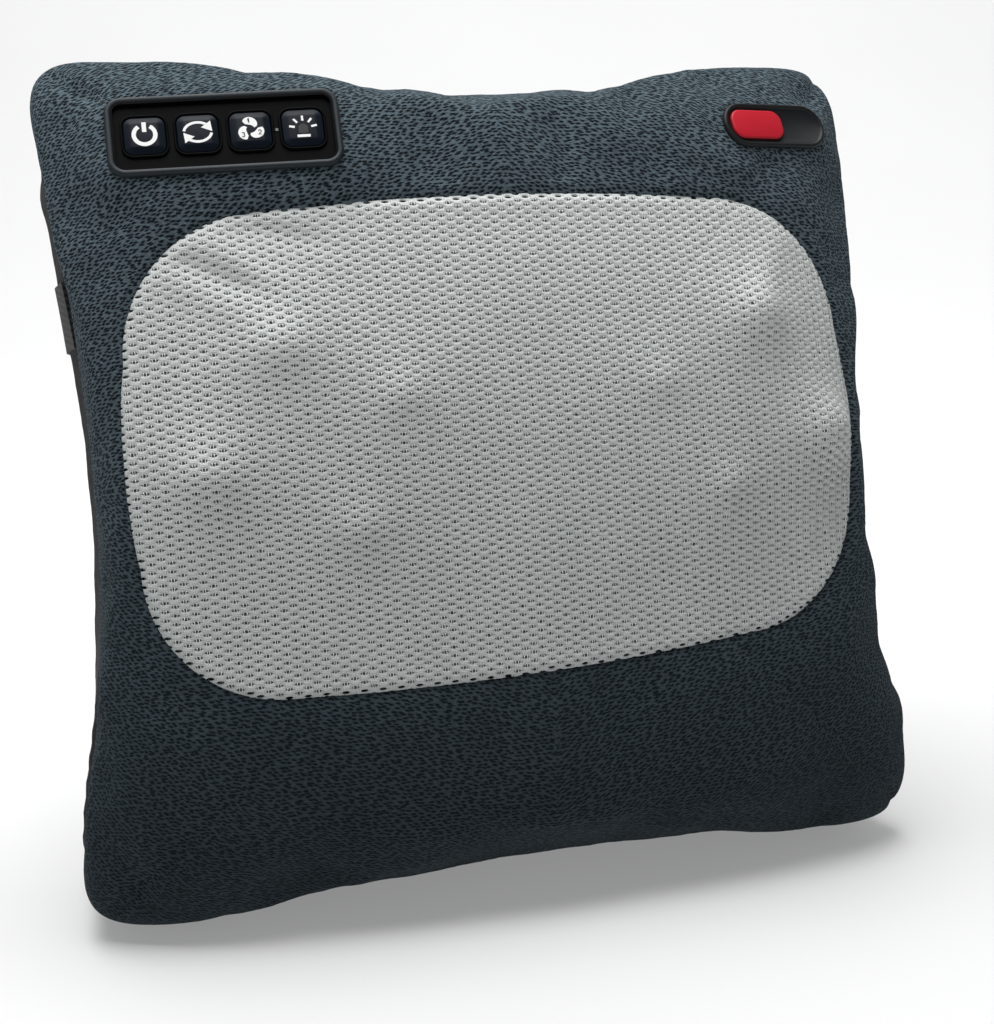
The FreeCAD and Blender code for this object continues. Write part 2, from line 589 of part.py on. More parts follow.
# ---------------------------------------------------------------- housing and electronics
SCREW_PLACES = [(sx * x, HEAD_Z + sz * 52.0) for x in (122.0, 45.0) for sx in (-1, 1) for sz in (-1, 1)]
BOARD_HOLES = [(sx * 31.0, z) for sx in (-1, 1) for z in (-34.0, -12.0)]
BOARD_Y = 34.0
BOARD_PARTS = [                 # x from and to, z from and to, height: relay, chip and three plugs
    (-24, -8, -32, -20, 10), (-4, 6, -26, -16, 2), (-31, -21, -18.5, -14.5, 6), (17, 27, -36, -32, 6),
    (12, 22, -14.5, -10.5, 6)]
CAPACITORS = [(14, -26), (24, -22)]


def make_housing():
    floor_y = HOUSING_BACK_Y - HOUSING_WALL
    shell = housing_block(0.0, HOUSING_SPLIT_Y + 0.02, HOUSING_BACK_Y)
    shell = shell.cut(housing_block(-HOUSING_WALL, HOUSING_SPLIT_Y - 1, floor_y))
    added, holes = [], []
    for x, z in SCREW_PLACES:
        added.append(disc(4.2, HOUSING_SPLIT_Y + 0.02, floor_y + 0.5, x, z))
        holes.append(disc(1.55, HOUSING_SPLIT_Y - 1, 12, x, z))
    for sign in (-1, 1):
        added.append(disc(12.0, SHAFT_Y + 5.3, floor_y + 0.5, sign * HEAD_X, HEAD_Z))
        added.append(disc(7.0, -16.0, floor_y + 0.5, sign * HEAD_X, HEAD_Z))
        holes.append(disc(3.5, -17, floor_y - 2, sign * HEAD_X, HEAD_Z))
        holes.append(disc(2.0, 25, 31, sign * HEAD_X, HEAD_Z))
        for x0 in (56.5, 117.2):
            pillar = box(x0, x0 + 3.6, SHAFT_Y - 7.5, floor_y + 0.5, SHAFT_Z - 7.5, SHAFT_Z + 7.5)
            bore = rod(5.03, x0 - 1, x0 + 5)
            added.append(pillar if sign > 0 else mirrored(pillar))
            holes.append(bore if sign > 0 else mirrored(bore))
    for x0 in (-19.0, 16.0):
        rib = box(x0, x0 + 3.0, SHAFT_Y + 4, floor_y + 0.5, SHAFT_Z - 20, SHAFT_Z + 20)
        added.append(rib)
        holes.append(rod(MOTOR_R + 0.15, x0 - 1, x0 + 4))
    for side in (-1, 1):
        added.append(disc(3.6, SHAFT_Y, floor_y + 0.5, 0, SHAFT_Z + side * 22.3))
        holes.append(disc(1.55, SHAFT_Y - 1, SHAFT_Y + 12, 0, SHAFT_Z + side * 22.3))
    for x, z in BOARD_HOLES:
        added.append(disc(2.6, BOARD_Y + 1.62, floor_y + 0.5, x, z))
        holes.append(disc(1.25, BOARD_Y, floor_y - 1, x, z))
    up = Vector(0, 0, 1)
    holes.append(Part.makeCylinder(3.4, 12, Vector(-38.2, 28.8, HEAD_Z + HOUSING_HALF_H - 6), up))
    holes.append(Part.makeCylinder(3.0, 12, Vector(22, 30.2, HEAD_Z - HOUSING_HALF_H - 4), up))
    outer_guard = housing_block(0.0, -20, HOUSING_BACK_Y)
    posts = joined([shell] + added).common(outer_guard)
    parts["rear_housing"] = posts.cut(holes)

    plate = housing_block(0.0, HOUSING_FRONT_Y, HOUSING_SPLIT_Y)
    lip = housing_block(-HOUSING_WALL - 0.2, HOUSING_SPLIT_Y - 0.5, HOUSING_SPLIT_Y + 3)
    lip = lip.cut(housing_block(-HOUSING_WALL - 1.8, HOUSING_SPLIT_Y - 1, HOUSING_SPLIT_Y + 4))
    for x, z in SCREW_PLACES:
        lip = lip.cut(disc(4.6, HOUSING_SPLIT_Y, 10, x, z))
    plate = plate.fuse(lip)
    for sign in (-1, 1):
        collar = ring(17.0, 13.6, HOUSING_SPLIT_Y - 0.5, SHAFT_Y - 2.8, sign * HEAD_X, HEAD_Z)
        plate = plate.fuse(collar).cut(disc(13.6, -20, 20, sign * HEAD_X, HEAD_Z))
    for x, z in SCREW_PLACES:
        plate = plate.cut(disc(1.65, -20, 20, x, z))
    parts["front_housing"] = plate
    seat_y = HOUSING_FRONT_Y - 0.02
    screws = [machine_screw(2.8, 1.5, seat_y - 1.88, seat_y, 8.0, x, z) for x, z in SCREW_PLACES]
    parts["housing_screws"] = group(screws)

    lamps, lenses = [], []
    for sign in (-1, 1):
        x = sign * HEAD_X
        chip = box(x - 2.5, x + 2.5, -19.2, -17.5, HEAD_Z - 2.5, HEAD_Z + 2.5)
        lamps.append(joined([disc(6.9, -17.6, -16.02, x, HEAD_Z), chip]))
        lens = lamp_lens()
        lens.translate(Vector(x, 0, HEAD_Z))
        lenses.append(lens)
    parts["lamp_boards"] = group(lamps)
    parts["lamp_lenses"] = group(lenses)

    board = box(-35, 35, BOARD_Y, BOARD_Y + 1.6, -38, -8)
    for x, z in BOARD_HOLES:
        board = board.cut(disc(1.4, BOARD_Y - 1, BOARD_Y + 3, x, z))
    chips = [box(x0, x1, BOARD_Y - tall, BOARD_Y + 0.5, z0, z1) for x0, x1, z0, z1, tall in BOARD_PARTS]
    chips += [disc(4.0, BOARD_Y - 11, BOARD_Y + 0.5, x, z) for x, z in CAPACITORS]
    parts["control_board"] = joined([board] + chips)
    parts["board_screws"] = group(
        machine_screw(2.2, 1.2, BOARD_Y - 1.6, BOARD_Y - 0.02, BOARD_Y + 6, x, z) for x, z in BOARD_HOLES)


def lamp_lens():
    """Hollow dome on a ring that hugs the lamp board, about the head's axis."""
    rim_y, base_y, outer, inner, hug = -19.4, -17.5, 11.0, 9.6, 7.02
    half = math.sqrt(0.5)

    def arc(radius, from_tip):
        tip, rim = Vector(0, rim_y - radius, 0), Vector(radius, rim_y, 0)
        middle = Vector(radius * half, rim_y - radius * half, 0)
        first, last = (tip, rim) if from_tip else (rim, tip)
        return Part.Arc(first, middle, last).toShape()

    foot = [Vector(outer, rim_y, 0), Vector(outer, base_y, 0), Vector(hug, base_y, 0), Vector(hug, rim_y, 0),
            Vector(inner, rim_y, 0)]
    edges = [arc(outer, True)]
    edges += [Part.LineSegment(a, b).toShape() for a, b in zip(foot, foot[1:])]
    edges.append(arc(inner, False))
    edges.append(Part.LineSegment(Vector(0, rim_y - inner, 0), Vector(0, rim_y - outer, 0)).toShape())
    return Part.Face(Part.Wire(edges)).revolve(Vector(0, 0, 0), Vector(0, 1, 0), 360)


def keypad_cable_shape(radius):
    start = PANEL_PLACE.multVec(Vector(KEYPAD_PLUG_X, KEYPAD_PLUG_Y, 0))
    leave = PANEL_PLACE.multVec(Vector(KEYPAD_PLUG_X, KEYPAD_PLUG_Y + 13, -1))
    return cable([tuple(start), tuple(leave), (-53, 2, 106), (-42, 19, 92), (-38, 30, 76), (-39, 31.5, 50),
                  (-38.5, 30, 24), (-39, 31, -2), (-38, 30.8, -14.5), (-31.8, 31, -16.5)], radius)


def inlet_lead_shape(radius):
    return cable([(INLET_X, 45.5, INLET_Z), (INLET_X, 30, INLET_Z), (88, 22, -96), (52, 24, -80),
                  (28, 27, -63), (22, 30, -49), (22, 31, -36.5)], radius)


def make_leads():
    parts["keypad_cable"] = keypad_cable_shape(1.6)
    parts["inlet_lead"] = inlet_lead_shape(2.0)
    leads = []
    for y, end_x in ((SHAFT_Y + 8, 15.0), (SHAFT_Y, 19.0)):
        leads.append(cable([(31.2, y, SHAFT_Z - 10.8), (38, y, SHAFT_Z - 12), (40, y + 1, 18), (36, y + 2, 2),
                            (end_x + 3, 20, -8), (end_x, 27.4, -12.5)], 0.8))
    parts["motor_leads"] = group(leads)


# ---------------------------------------------------------------- back furniture
def make_back():
    band = back_form(0.5 + STRAP_T).cut(back_form(0.5))
    band = band.common(box(-400, 400, SEAM_Y + 2, 100, STRAP_Z - STRAP_W / 2, STRAP_Z + STRAP_W / 2))
    parts["strap_left"] = largest_solid(band.common(box(-400, -0.5, -100, 200, -300, 300)))
    parts["strap_right"] = largest_solid(band.common(box(0.5, 400, -100, 200, -300, 300)))
    patch_y = BACK_DEPTH + 0.5 + STRAP_T + 0.1
    parts["strap_fastener"] = rounded_box(-32, 32, patch_y, patch_y + 1.6, STRAP_Z - 12, STRAP_Z + 12, 3.0)

    tape_y = BACK_DEPTH + 0.2
    tape_t, teeth_t = 0.8, 1.8
    parts["zipper_tape"] = rounded_box(ZIP_X0, ZIP_X1, tape_y, tape_y + tape_t, ZIP_Z - 12, ZIP_Z + 12, 2.0)
    teeth = []
    pitch = 3.0
    count = int((ZIP_X1 - ZIP_X0 - 12) / pitch)
    teeth_y = tape_y + tape_t + 0.02
    for index in range(count):
        x = ZIP_X0 + 6 + pitch * index
        next_x = x + pitch / 2
        teeth.append(box(x, x + 1.3, teeth_y, teeth_y + teeth_t, ZIP_Z - 2.4, ZIP_Z + 0.7))
        teeth.append(box(next_x, next_x + 1.3, teeth_y, teeth_y + teeth_t, ZIP_Z - 0.7, ZIP_Z + 2.4))
    parts["zipper_teeth"] = group(teeth)

    slider_x = ZIP_X0 + 14.0
    under, over = teeth_y + 0.3, teeth_y + teeth_t + 0.35
    plate = rounded_box(slider_x - 6, slider_x + 6, over, over + 1.3, ZIP_Z - 4.4, ZIP_Z + 4.4, 1.8)
    flanges = [box(slider_x - 5, slider_x + 5, under, over + 0.5, z - 0.8, z + 0.8)
               for z in (ZIP_Z - 3.5, ZIP_Z + 3.5)]
    bar_y = over + 4.2
    cheeks = [box(slider_x - 1.6, slider_x + 1.6, over + 0.5, bar_y + 1.2, ZIP_Z + side * 2.6 - 0.6,
                  ZIP_Z + side * 2.6 + 0.6) for side in (-1, 1)]
    bar = Part.makeCylinder(0.9, 5.2, Vector(slider_x, bar_y, ZIP_Z - 2.6), Vector(0, 0, 1))
    parts["zipper_slider"] = joined([plate] + flanges + cheeks + [bar])
    eye = Part.makeCylinder(1.9, 3.4, Vector(slider_x, bar_y, ZIP_Z - 1.7), Vector(0, 0, 1))
    tab = box(slider_x + 1.0, slider_x + 24, bar_y - 0.7, bar_y + 0.7, ZIP_Z - 1.7, ZIP_Z + 1.7)
    grip = box(slider_x + 9, slider_x + 24, bar_y - 0.9, bar_y + 0.9, ZIP_Z - 3.2, ZIP_Z + 3.2)
    grip_edges = [e for e in grip.Edges if abs(e.tangentAt(e.FirstParameter).y) > 0.99]
    pull = joined([eye, tab, grip.makeFillet(1.4, grip_edges)])
    bore = Part.makeCylinder(0.98, 10, Vector(slider_x, bar_y, ZIP_Z - 5), Vector(0, 0, 1))
    parts["zipper_pull"] = pull.cut(bore)

    flange = disc(8.4, BACK_DEPTH + 0.05, BACK_DEPTH + 1.6, INLET_X, INLET_Z)
    barrel = disc(5.9, 46.0, BACK_DEPTH + 1.0, INLET_X, INLET_Z)
    inlet = joined([flange, barrel]).cut(disc(2.9, 49.0, 70, INLET_X, INLET_Z))
    parts["dc_inlet"] = joined([inlet, disc(1.0, 48.5, BACK_DEPTH + 0.6, INLET_X, INLET_Z)])
    nut = ring(8.6, 6.0, 51.6, 54.4, INLET_X, INLET_Z)
    parts["inlet_nut"] = nut


# ---------------------------------------------------------------- assembly
def place_on_floor():
    """Lean every piece back and set the cushion on the floor, centred under its own box."""
    for shape in parts.values():
        shape.rotate(Vector(0, 0, 0), Vector(1, 0, 0), -LEAN_DEG)
        shape.translate(Vector(0, 0, (HALF_HEIGHT - FLOOR_BITE) * math.cos(LEAN)))
    bounds = FreeCAD.BoundBox()
    for shape in parts.values():
        bounds.add(shape.optimalBoundingBox(False, False))
    shift = Vector(-bounds.Center.x, -bounds.Center.y, -bounds.ZMin)
    for shape in parts.values():
        shape.translate(shift)
    print("box %.2f x %.2f x %.2f mm" % (bounds.XLength, bounds.YLength, bounds.ZLength))
    print("shift to floor centre %.3f %.3f %.3f" % (shift.x, shift.y, shift.z))


def main():
    make_covers()
    make_panel()
    make_badge()
    make_drive()
    make_motor()
    make_housing()
    make_leads()
    make_back()
    place_on_floor()
    os.makedirs("parts", exist_ok=True)
    for name, shape in parts.items():
        if not shape.isValid():
            print("not valid:", name)
        shape.exportStep("parts/%s.step" % name)
    print(len(parts), "nodes")


main()
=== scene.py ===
import json
import math
import random

import bmesh
import bpy
import numpy as np
from mathutils import Matrix, Vector
from mathutils.kdtree import KDTree


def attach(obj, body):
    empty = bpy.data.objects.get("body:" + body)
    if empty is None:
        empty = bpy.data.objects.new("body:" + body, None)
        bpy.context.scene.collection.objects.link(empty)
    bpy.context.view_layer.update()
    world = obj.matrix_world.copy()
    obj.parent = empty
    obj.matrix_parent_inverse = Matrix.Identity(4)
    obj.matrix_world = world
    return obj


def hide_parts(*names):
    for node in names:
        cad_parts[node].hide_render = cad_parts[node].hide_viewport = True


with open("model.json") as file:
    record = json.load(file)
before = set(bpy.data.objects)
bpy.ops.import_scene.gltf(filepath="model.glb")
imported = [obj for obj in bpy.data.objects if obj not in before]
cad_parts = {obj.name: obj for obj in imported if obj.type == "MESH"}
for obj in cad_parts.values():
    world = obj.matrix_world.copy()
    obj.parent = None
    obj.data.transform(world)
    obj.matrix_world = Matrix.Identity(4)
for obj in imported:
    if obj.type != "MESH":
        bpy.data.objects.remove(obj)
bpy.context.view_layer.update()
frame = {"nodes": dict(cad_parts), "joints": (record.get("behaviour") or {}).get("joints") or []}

NODES = frame["nodes"]
JOINTS = {joint["name"]: joint for joint in frame["joints"]}
MM = 0.001
ROOT = "cushion"

# ---------------------------------------------------------------- sizes in mm, in the leaning cushion's frame
HALF_W, HALF_H = 165.0, 160.0      # rim of the cushion, where the front cover is widest
CROWN, BACK = 58.0, 58.0           # depth in front of the rim and behind it
RIM_CORNER, RIM_SAG, SIDE_SAG = 20.0, 11.0, 15.0
SAG_END, SAG_END_LEFT = 0.68, 0.60  # levels of the crown where the sag ends, and where it ends on the left
# how much further the filled cover is drawn in: along the sides from the bottom to the top, and
# along the bottom and the top from left to right
DRAWN_LEFT = [-2.0, -1.2, -0.4, 0.3, 0.3, 0.3, 1.0, 2.0, 1.6]
DRAWN_RIGHT = [-1.5, 0.0, 8.2, 5.2, -0.8, 2.7, 6.6, 6.5, 4.5]
DRAWN_TOP = [1.0, 3.8, 4.7, 5.3, 7.2, 7.5, 6.9, 7.5, 6.5]
DRAWN_BOTTOM = [5.4, 3.8, 3.4, 1.2, 2.0, 2.8, 4.9, 6.6, 7.0]
DRAWN_FULL, DRAWN_NONE = 0.55, 0.82  # levels of the crown up to which, and from which, it is drawn in
CROWN_POWER, PULL_POWER = 0.30, 18.0
TAPER = math.tan(math.radians(14.5))  # of the wall behind the rim
SEAM_Y = 30.0                      # seam between the front and back covers, behind the rim
WALL_END, BACK_ROUND = 46.0, 12.0  # end of the wall, and the rounding from it to the flat back
BACK_CORNER, BACK_SAG, BACK_SAG_LOW, BACK_SAG_SIDE = 32.0, 6.0, 0.6, 9.5
HEAD_Z = 15.0                      # height of the massage heads' axes
FAR = 260.0                        # past any outline
WINDOW_HALF_W, WINDOW_HALF_H, WINDOW_CORNER, WINDOW_BULGE = 138.3, 84.0, 50.6, 3.0
WINDOW_X, WINDOW_TILT = -4.2, 0.04
MID_Z = 10.0                       # middle of the window; the cover's rays start here
HOLE_PITCH, HOLE_ROW = 6.6, 1.525  # air mesh: holes along a row, and from row to row
STRAP_Z, STRAP_W = 70.0, 25.0
ZIP_Z, ZIP_X0, ZIP_X1 = -85.0, -105.0, 75.0
INLET_X, INLET_Z = 112.0, -112.0
PANEL_HALF_W, PANEL_HALF_H, PANEL_CORNER = 41.0, 15.2, 6.0
BADGE_HALF_W, BADGE_HALF_H = 24.0, 9.25
BADGE_UP, BADGE_SIDE = math.radians(17.0), math.radians(-11.0)
INLAY_HALF_W, INLAY_HALF_H, INLAY_CORNER, INLAY_X = 11.9, 6.0, 4.6, -8.6
STITCH_W, STITCH_H = 2.5, 1.25     # of the front cover's knit
KNIT_TURN = 40.0                   # depth in front of the rim where the knit's rows start to count the depth

# ---------------------------------------------------------------- frames
Y_AXIS = Vector(JOINTS["head_left_spin"]["axis"]).normalized()
X_AXIS = Vector((1.0, 0.0, 0.0))
Z_AXIS = X_AXIS.cross(Y_AXIS)
PIVOTS = [Vector(JOINTS[name]["pos_m"]) for name in ("head_left_spin", "head_right_spin")]
ORIGIN = (PIVOTS[0] + PIVOTS[1]) / 2 - Z_AXIS * HEAD_Z * MM
BASIS = np.array([X_AXIS, Y_AXIS, Z_AXIS])


def to_row(points):
    """Points of the cushion's frame in mm, in the row frame in metres."""
    return np.asarray(ORIGIN) + MM * np.asarray(points, float).reshape(-1, 3) @ BASIS


def to_cushion(points):
    return (np.asarray(points, float).reshape(-1, 3) - np.asarray(ORIGIN)) @ BASIS.T / MM


def node_points(name):
    return to_cushion([v.co for v in NODES[name].data.vertices])


class Place:
    """A small flat frame on the front face: u to the right, d into the cushion, v up, in mm."""

    def __init__(self, inward, right, node, front):
        self.d = np.asarray(inward, float) / np.linalg.norm(inward)
        right = np.asarray(right, float)
        right = right - self.d * (right @ self.d)
        self.u = right / np.linalg.norm(right)
        self.v = np.cross(self.u, self.d)
        axes = np.array([self.u, self.d, self.v])
        spread = node_points(node) @ axes.T
        middle = (spread.min(0) + spread.max(0)) / 2
        middle[1] = spread[:, 1].min() - front
        self.origin = middle @ axes

    def points(self, flat):
        flat = np.asarray(flat, float).reshape(-1, 3)
        return self.origin + flat @ np.array([self.u, self.d, self.v])

    def flat(self, points):
        return (points - self.origin) @ np.array([self.u, self.d, self.v]).T


def direction(vector):
    return BASIS @ np.asarray(vector, float)


def panel_place():
    inward = direction(JOINTS["power_button_press"]["axis"])
    right = node_points("light_button").mean(0) - node_points("power_button").mean(0)
    return Place(inward, right, "panel_bezel", -1.4)


def badge_place():
    inward = np.array([math.sin(BADGE_SIDE) * math.cos(BADGE_UP), math.cos(BADGE_SIDE) * math.cos(BADGE_UP),
                       -math.sin(BADGE_UP)])
    right = (math.cos(BADGE_SIDE), -math.sin(BADGE_SIDE), 0.0)
    return Place(inward, right, "badge_base", -0.6)


PANEL, BADGE = panel_place(), badge_place()


# ---------------------------------------------------------------- plain shapes of the form
def hollow(along, reach):
    return np.clip(1 - (along / reach) ** 2, 0, 1)


def box_distance(x, z, half_w, half_h, corner, bows=(0.0, 0.0, 0.0)):
    """Signed distance to a round-cornered box; bows: how far sides, top and bottom bow outwards."""
    side, top, low = bows
    wide = half_w + side * hollow(z, half_h - corner)
    high = half_h + np.where(z > 0, top, low) * hollow(x, half_w - corner)
    across, up = np.abs(x) - wide + corner, np.abs(z) - high + corner
    outside = np.hypot(np.maximum(across, 0), np.maximum(up, 0))
    return outside + np.minimum(np.maximum(across, up), 0) - corner


def window_distance(x, z):
    """The window's lower edge is not quite level."""
    lower = (1 - np.tanh((z - MID_Z) / 25)) / 2
    level_z = z - MID_Z - WINDOW_TILT * x * lower
    bows = (WINDOW_BULGE, WINDOW_BULGE, WINDOW_BULGE)
    return box_distance(x - WINDOW_X, level_z, WINDOW_HALF_W, WINDOW_HALF_H, WINDOW_CORNER, bows)


def back_distance(x, z):
    taper = WALL_END * TAPER
    bows = (-BACK_SAG_SIDE, -BACK_SAG, -BACK_SAG_LOW)
    return box_distance(x, z, HALF_W - taper, HALF_H - taper, BACK_CORNER, bows)


def base_shares(x, z):
    """Share of the way to the plain rim, across and up, after the corners pull both in."""
    across, up = np.abs(x) / HALF_W, np.abs(z) / HALF_H
    both = (across ** PULL_POWER + up ** PULL_POWER) ** (1 / PULL_POWER)
    pull = both / np.maximum(np.maximum(across, up), 1e-6)
    return across * pull, up * pull


def base_level(x, z):
    """Level of the plain crown, from 0 at the rim to 1 in the middle."""
    across, up = base_shares(x, z)
    fall = (1 - np.minimum(across ** 2, 1)) * (1 - np.minimum(up ** 2, 1))
    return fall ** CROWN_POWER


def drawn_in(x, z, level):
    """How much each coordinate shrinks where the sides pull in between the corners."""
    spread = level ** (1 / CROWN_POWER)
    edge = np.sqrt(np.maximum(1 - spread, 1e-6))
    diagonal = np.sqrt(np.maximum(1 - np.sqrt(spread), 1e-6))
    half_w, half_h = HALF_W * edge, HALF_H * edge
    corner = np.minimum(RIM_CORNER + (edge - diagonal) * HALF_W / (1 - math.sqrt(0.5)), 0.82 * half_h)
    remains = 1 - (level / SAG_END) ** 4
    least = -0.12 * (half_h - corner)
    beside = np.where(x > 0, remains, 1 - (level / SAG_END_LEFT) ** 2)
    side = np.maximum(SIDE_SAG * beside, least) * soft_hollow(z / (half_h - corner))
    end = np.maximum(RIM_SAG * remains, least) * soft_hollow(x / (half_w - corner))
    weight = 1 - smooth_step(level, DRAWN_FULL, DRAWN_NONE)
    across, up = x / HALF_W, z / HALF_H
    extra_side = weight * np.where(x > 0, drawn(up, DRAWN_RIGHT), drawn(up, DRAWN_LEFT))
    extra_end = weight * np.where(z > 0, drawn(across, DRAWN_TOP), drawn(across, DRAWN_BOTTOM))
    wide = 1 - side / half_w - extra_side * smooth_step(np.abs(across), 0.0, 0.8) / HALF_W
    high = 1 - end / half_h - extra_end * smooth_step(np.abs(up), 0.0, 0.8) / HALF_H
    return wide, high


def smooth_step(value, low, high):
    share = np.clip((value - low) / (high - low), 0, 1)
    return share * share * (3 - 2 * share)


def drawn(share, table):
    """A table's value at a share from -1 to 1, with smooth joins."""
    place = np.clip((share + 1) / 2 * (len(table) - 1), 0, len(table) - 1.001)
    first = place.astype(int)
    low, high = np.asarray(table)[first], np.asarray(table)[first + 1]
    return low + (high - low) * smooth_step(place - first, 0.0, 1.0)


def soft_hollow(share):
    """One in the middle of a side, falling smoothly to nothing at its ends."""
    plain = 1 - share ** 2
    return np.minimum((plain + np.sqrt(plain ** 2 + 0.02)) / 2, 1)


def crown_depth(x, z):
    """How far the front face stands in front of the rim plane, well inside the rim."""
    base_x, base_z = x, z
    for _ in range(8):
        level = base_level(base_x, base_z)
        shrink_x, shrink_z = drawn_in(base_x, base_z, level)
        base_x, base_z = x / shrink_x, z / shrink_z
    return CROWN * base_level(base_x, base_z)


def bisected(low, high, past):
    """Where past(value) turns true, for whole arrays at once."""
    for _ in range(40):
        middle = (low + high) / 2
        out = past(middle)
        high = np.where(out, middle, high)
        low = np.where(out, low, middle)
    return low


def form_lines(angles, levels):
    """Points of the front face on lines from the rim to the middle."""
    angle, level = np.meshgrid(angles, levels, indexing="ij")
    cos, sin = np.cos(angle), np.sin(angle)
    radius = bisected(np.zeros_like(angle), np.full_like(angle, FAR),
                      lambda r: base_level(r * cos, r * sin) < level)
    x, z = radius * cos, radius * sin
    shrink_x, shrink_z = drawn_in(x, z, level)
    return np.stack([x * shrink_x, -CROWN * level, z * shrink_z], axis=2)


def reach(angles, outside, mid_z=MID_Z):
    """Distance from the middle to an outline along each ray, where outside(x, z) is above zero past it."""
    cos, sin = np.cos(angles), np.sin(angles)
    return bisected(np.zeros_like(angles), np.full_like(angles, FAR),
                    lambda r: outside(r * cos, mid_z + r * sin) > 0)


def rays(angles, radius, mid_z=MID_Z):
    return radius * np.cos(angles), mid_z + radius * np.sin(angles)


def respaced(lines, count):
    """Each line of points, spaced evenly again along its own length; also each line's length."""
    steps = np.linalg.norm(np.diff(lines, axis=1), axis=2)
    along = np.concatenate([np.zeros((len(lines), 1)), np.cumsum(steps, axis=1)], axis=1)
    even = np.linspace(0, 1, count)
    made = np.empty((len(lines), count, 3))
    for index, (line, lengths) in enumerate(zip(lines, along)):
        for axis in range(3):
            made[index, :, axis] = np.interp(even * lengths[-1], lengths, line[:, axis])
    return made, along[:, -1]


def front_lines(angles, count, to_window=True):
    """Lines over the front cover, from the window's edge or the middle to the seam."""
    levels = 1 - (1 - np.linspace(0, 1, 260)[:-1]) ** 2
    levels[0] = 1e-7
    face = form_lines(angles, levels)[:, ::-1]
    rim = face[:, -1]
    depth = np.linspace(0.5, SEAM_Y, 30)
    spread = np.hypot(rim[:, 0], rim[:, 2])
    share = 1 - depth[None] * TAPER / spread[:, None]
    wall = np.stack([rim[:, :1] * share, np.broadcast_to(depth, share.shape), rim[:, 2:] * share], axis=2)
    lines = np.concatenate([face, wall], axis=1)
    if to_window:
        distance = window_distance(lines[..., 0], lines[..., 2])
        lines = cut_lines(lines, np.where(lines[..., 1] > -5.0, 99.0, distance))
    return respaced(lines, count)


def cut_lines(lines, distance):
    """The lines from where the distance turns positive; the part before is folded onto that point."""
    made = lines.copy()
    for line, away in zip(made, distance):
        last = int(np.flatnonzero(away < 0).max())
        share = away[last] / (away[last] - away[last + 1])
        line[:last + 1] = line[last] + (line[last + 1] - line[last]) * share
    return made


def back_lines(angles, count):
    """Lines over the back cover from the seam to the middle of the back."""
    rim = form_lines(angles, np.array([1e-7]))[:, 0]
    spread = np.hypot(rim[:, 0], rim[:, 2])
    start = spread - SEAM_Y * TAPER
    turn_to = np.arctan2(rim[:, 2], rim[:, 0])
    end = reach(turn_to, back_distance, 0.0)
    depth = np.linspace(SEAM_Y, WALL_END, 40)
    share = (depth - SEAM_Y) / (WALL_END - SEAM_Y)
    wall_r = start[:, None] + (end - start)[:, None] * share[None]
    turn = np.linspace(0, math.pi / 2, 14)[1:]
    round_r = end[:, None] - BACK_ROUND * (1 - np.cos(turn))[None]
    flat_r = (end - BACK_ROUND)[:, None] * np.linspace(1, 0.004, 90)[None, 1:]
    radius = np.concatenate([wall_r, round_r, flat_r], axis=1)
    depths = np.concatenate([depth, WALL_END + BACK_ROUND * np.sin(turn), np.full(89, BACK)])
    x, z = rays(turn_to[:, None], radius, 0.0)
    return respaced(np.stack([x, np.broadcast_to(depths, x.shape), z], axis=2), count)


def grid_normals(grid, outward):
    """Unit normals of a grid that is closed round its first axis; outward is a point's rough way out."""
    round_way = np.roll(grid, -1, axis=0) - np.roll(grid, 1, axis=0)
    normals = np.cross(round_way, np.gradient(grid, axis=1))
    normals /= np.maximum(np.linalg.norm(normals, axis=2, keepdims=True), 1e-9)
    sign = np.sign((normals * outward).sum(2, keepdims=True))
    return normals * np.where(sign == 0, 1, sign)


def fold_faces(rows, columns, closed=True):
    """Quads of a grid with the given rows and columns, closed round its rows."""
    last = rows if closed else rows - 1
    faces = []
    for row in range(last):
        here, there = row * columns, (row + 1) % rows * columns
        for column in range(columns - 1):
            faces.append((here + column, there + column, there + column + 1, here + column + 1))
    return faces


# ---------------------------------------------------------------- meshes
def link(name, mesh, material, body=ROOT):
    piece = bpy.data.objects.new(name, mesh)
    bpy.context.scene.collection.objects.link(piece)
    mesh.materials.append(material)
    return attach(piece, body)


def build(name, points, faces, material, body=ROOT, cloth=None, smooth=True):
    """A mesh from points of the cushion's frame; cloth holds each point's place in the plain form."""
    mesh = bpy.data.meshes.new(name)
    mesh.from_pydata(to_row(points).tolist(), [], faces)
    mesh.polygons.foreach_set("use_smooth", [smooth] * len(mesh.polygons))
    if cloth is not None:
        layer = mesh.attributes.new("weave", "FLOAT_VECTOR", "POINT")
        layer.data.foreach_set("vector", np.asarray(cloth, np.float32).ravel())
    mesh.update()
    return link(name, mesh, material, body)


def out_of_floor(points):
    """The same points with any that are under the floor set on it."""
    row = to_row(points)
    row[:, 2] = np.maximum(row[:, 2], 0.0)
    return to_cushion(row)


def round_box(half_w, half_h, corner, inset, steps=6):
    """Outline points of a round-cornered box drawn in by an inset, counter-clockwise."""
    wide, high = half_w - inset, half_h - inset
    radius = max(corner - inset, 0.15)
    made = []
    for quarter, (sx, sz) in enumerate(((1, 1), (-1, 1), (-1, -1), (1, -1))):
        for step in range(steps + 1):
            angle = math.pi / 2 * (quarter + step / steps)
            made.append((sx * (wide - radius) + radius * math.cos(angle),
                         sz * (high - radius) + radius * math.sin(angle)))
    return made


